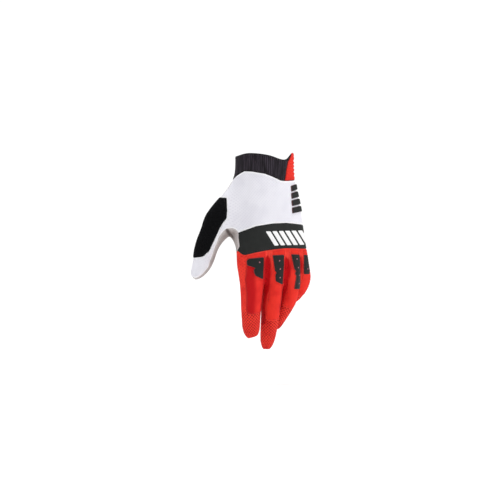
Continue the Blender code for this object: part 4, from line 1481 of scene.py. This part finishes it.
def band_stretch_black():
    """Smooth printed elastic: near black, a faint diagonal twill, slightly satin."""
    material, tree = new_material("black_elastic_band", 0.65, 0.08, "#8A8F8C", 0.25)
    twill = lattice(tree, 0.0011, 30.0)
    colour = blend(tree, "#151716", "#202221", ramp(tree, twill, 0.15, 0.6))
    colour = blend(tree, colour, "#2E3130", near_edge(tree, 0.9, 0.4))
    worn = grain(tree, 0.012)
    return dress(material, colour, bump(tree, twill, 0.00008, 0.6), ramp(tree, worn, 0.3, 0.7, 0.6, 0.75))


def towelling_black():
    """Terry towelling: deep black pile, soft, no gloss, uneven where loops lean."""
    material, tree = new_material("black_towelling", 1.0, 0.35, "#5A5A60", 0.1)
    pile = grain(tree, 0.0012, 3.0)
    colour = blend(tree, "#09090A", "#1D1D20", ramp(tree, pile, 0.4, 0.72))
    return dress(material, colour, bump(tree, pile, 0.0005, 0.9))


def suede_grey():
    """Synthetic suede: warm grey nap, mottled, painted light along its seams fading to darker further in,
    and painted shade in its folds.
    """
    material, tree = new_material("grey_suede", 0.92, 0.4, "#FFFFFF", 0.15)
    mottle = grain(tree, 0.006, 4.0)
    colour = blend(tree, "#958A87", "#A39A97", ramp(tree, mottle, 0.3, 0.7))
    # Painted light: paler within 6 mm of the seams, so the cloth further in looks shaded.
    colour = blend(tree, colour, "#C8C1C0", near_edge(tree, 6.0, 0.85))
    fine = grain(tree, 0.0007, 3.0)
    colour = blend(tree, colour, "#8F8480", times(tree, ramp(tree, fine, 0.5, 0.8), 0.4))
    # Painted shade in the folds of the palm and the thumb's web.
    colour = blend(tree, colour, "#6A5F5C", painted_shade(tree))
    return dress(material, colour, bump(tree, fine, 0.00012, 0.6, bump(tree, mottle, 0.0002, 0.4)))


def moulded_rubber():
    """Matt moulded rubber: near black with a faint sheen, a fine cast grain, and a painted pinkish
    highlight along its edges.
    """
    material, tree = new_material("moulded_rubber", 0.55, 0.0, "#FFFFFF", 0.18)
    cast = grain(tree, 0.0008, 3.0)
    colour = blend(tree, "#181A19", "#212322", ramp(tree, cast, 0.4, 0.7))
    # Painted highlight along the guard's edges.
    colour = blend(tree, colour, "#7A5658", near_edge(tree, 0.5, 0.6))
    return dress(material, colour, bump(tree, cast, 0.00005, 0.5), ramp(tree, cast, 0.3, 0.7, 0.45, 0.6))


def plain_detail(name, colour, darker, roughness):
    """Thread, print or dots: one colour that is broken up by a fine grain."""
    material, tree = new_material(name, roughness, 0.1, "#FFFFFF", 0.35)
    fine = grain(tree, 0.0008, 2.0)
    mixed_colour = blend(tree, colour, darker, ramp(tree, fine, 0.4, 0.75))
    return dress(material, mixed_colour, bump(tree, fine, 0.00004, 0.4))


def studio_floor():
    material, tree = new_material("studio_floor", 0.9, 0.0, "#FFFFFF", 0.1)
    fine = grain(tree, 0.4, 2.0)
    return dress(material, blend(tree, "#F6F6F6", "#F2F2F2", fine))


def set_stage():
    """Camera at the photograph's angle, a bright world and a pale floor."""
    target = Vector((-0.0145, 0.0084, -0.1085))
    towards = Vector(AHEAD)
    camera = put_object("camera", bpy.data.cameras.new("camera"))
    camera.location = target + towards * CAMERA_DISTANCE
    camera.rotation_euler = (-towards).to_track_quat("-Z", "Y").to_euler()
    camera.data.sensor_width = 36.0
    camera.data.lens = 36.0 * CAMERA_DISTANCE / FRAME_WIDTH
    camera.data.clip_end = 100
    bpy.context.scene.camera = camera

    world = bpy.data.worlds.new("studio")
    world.use_nodes = True
    bpy.context.scene.world = world
    tree = world.node_tree
    background = tree.nodes["Background"]
    direction = add(tree, "ShaderNodeTexCoord").outputs["Generated"]
    front = add(tree, "ShaderNodeVectorMath", {
        0: direction, 1: tuple(towards),
    }, operation="DOT_PRODUCT")
    behind = ramp(tree, front.outputs["Value"], -0.97, -0.88, BACKDROP, AMBIENT)
    height = add(tree, "ShaderNodeSeparateXYZ", {"Vector": direction}).outputs["Z"]
    bright = calc(tree, "ADD", behind, ramp(tree, height, 0.4, 0.95, 0.0, OVERHEAD))
    tree.links.new(bright, background.inputs["Strength"])
    background.inputs["Color"].default_value = (1, 1, 1, 1)

    for name, spot, power, size in LAMPS:
        data = bpy.data.lights.new(name, "AREA")
        data.energy = power
        data.shape = "RECTANGLE"
        data.size, data.size_y = size
        lamp = put_object(name, data)
        lamp.location = spot
        lamp.rotation_euler = (target - lamp.location).to_track_quat("-Z", "Y").to_euler()

    bm = bmesh.new()
    bmesh.ops.create_circle(bm, cap_ends=True, segments=96, radius=30.0)
    mesh = bpy.data.meshes.new("floor")
    bm.to_mesh(mesh)
    bm.free()
    mesh.transform(Matrix.Translation((0, 0, FLOOR)))
    mesh.materials.append(studio_floor())
    put_object("floor", mesh)
    bpy.context.scene.view_settings.view_transform = "Standard"


def shown_mesh(piece):
    """How plainly the coarse mesh shows: fully at the fingertips, less up the sides."""
    mesh = piece.data
    places = np.zeros(len(mesh.vertices) * 3)
    mesh.vertices.foreach_get("co", places)
    places = places.reshape(-1, 3)
    shown = np.zeros(len(places))
    for name in FINGERS:
        finger = round_finger(places, name)
        near = finger["radius"] < finger["half_width"] * 1.6
        tip = np.clip((finger["drop"] - BACK_ENDS[name] + 0.03) / 0.03, 0, 1)
        shown = np.where(near, np.maximum(shown, 0.25 + 0.75 * tip), shown)
    layer = mesh.attributes.new("mesh_shown", "FLOAT", "POINT")
    layer.data.foreach_set("value", shown)


def main():
    materials = {
        "cuff": rib_knit_black(),
        "cuff_gusset": jersey_red("red_stretch_gusset", "#E43428", "#CC241E", "#2A0A0C", 0.9),
        "back_panel": knit_mesh_white(),
        "thumb_patch": towelling_black(),
        "palm_panel": suede_grey(),
        "knuckle_band": band_stretch_black(),
        "finger_back": jersey_red("red_finger_jersey", "#EA3428", "#C4161B"),
        # The index finger's own jersey, with painted shade on its back below the knuckle.
        "finger_back_index": jersey_red("red_index_jersey_shaded", "#E8332A", "#CC1C1E", index_shade=True),
        "finger_sleeves": open_mesh_red(),
        "guard": moulded_rubber(),
    }
    threads = {
        "cuff": plain_detail("black_thread", "#1B1A1C", "#0E0E0F", 0.6),
        "back_panel": plain_detail("white_thread", "#F4F3F7", "#D9D8DF", 0.6),
        "palm_panel": plain_detail("grey_thread", "#9C9390", "#7F7774", 0.6),
        "finger_back": plain_detail("red_thread", "#BE1A1A", "#9C1014", 0.6),
    }
    threads["thumb_patch"] = threads["knuckle_band"] = threads["cuff"]
    threads["cuff_gusset"] = threads["finger_back"]
    pink = plain_detail("pink_dots", "#B4707E", "#8E5060", 0.5)
    print_white = plain_detail("white_print", "#F4F4F4", "#E2E2E2", 0.55)

    cage = build_cage()
    rows, faces = smooth_skin(cage, SKIN_LEVEL)
    cage.free()
    rows, panels = sew_panels(rows, faces)
    stitches = stitch_group()
    dots = dot_group()
    bases = {}
    for name, faces in panels.items():
        kind = kind_of(name)
        material = materials.get(name, materials[kind])
        piece, bases[name] = make_panel(name + "_cloth", name, rows, faces, material)
        if name == "finger_sleeves":
            shown_mesh(piece)
        if kind in threads:
            sew(name + "_stitches", bases[name], STITCH_AT[kind], stitches, threads[kind])

    for name, outline in PADS.items():
        finger_back = name.replace("knuckle_guard", "finger_back")
        piece, own = lay_on(
            name + "_rubber", bases.get(finger_back, bases["back_panel"]), [outline],
            GUARD_HEIGHT + GUARD_LIFT, PAD_CORNER * HALF_WIDTH, 0.0008, materials["guard"],
        )
        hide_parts(name)
        if name in DOTS:
            add_dots(name + "_dots", own, DOTS[name], dots, pink)
    piece, _ = lay_on(
        "band_print", bases["knuckle_band"], PRINT_BARS, PRINT_HEIGHT, 0.0002, 0.0003, print_white,
        sunk=0.0001,
    )

    make_terry(bases["thumb_patch"], materials["thumb_patch"])


def make_terry(base, material):
    """The towelling's loops, spread over the thumb patch."""
    rows, faces = base
    used = vertices_of(faces)
    new = {v: i for i, v in enumerate(used)}
    mesh = bpy.data.meshes.new("terry_ground")
    mesh.from_pydata(rows[used, SHOWN].tolist(), [], [[new[v] for v in face] for _, face in faces])
    holder = put_object("terry_ground", mesh)
    smooth_shade(holder)
    inputs = {**TERRY, "Material": material}
    piece = run_modifier(holder, terry_group(), "thumb_patch_loops", inputs)
    smooth_shade(piece)
    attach(piece, "root")


main()
set_stage()
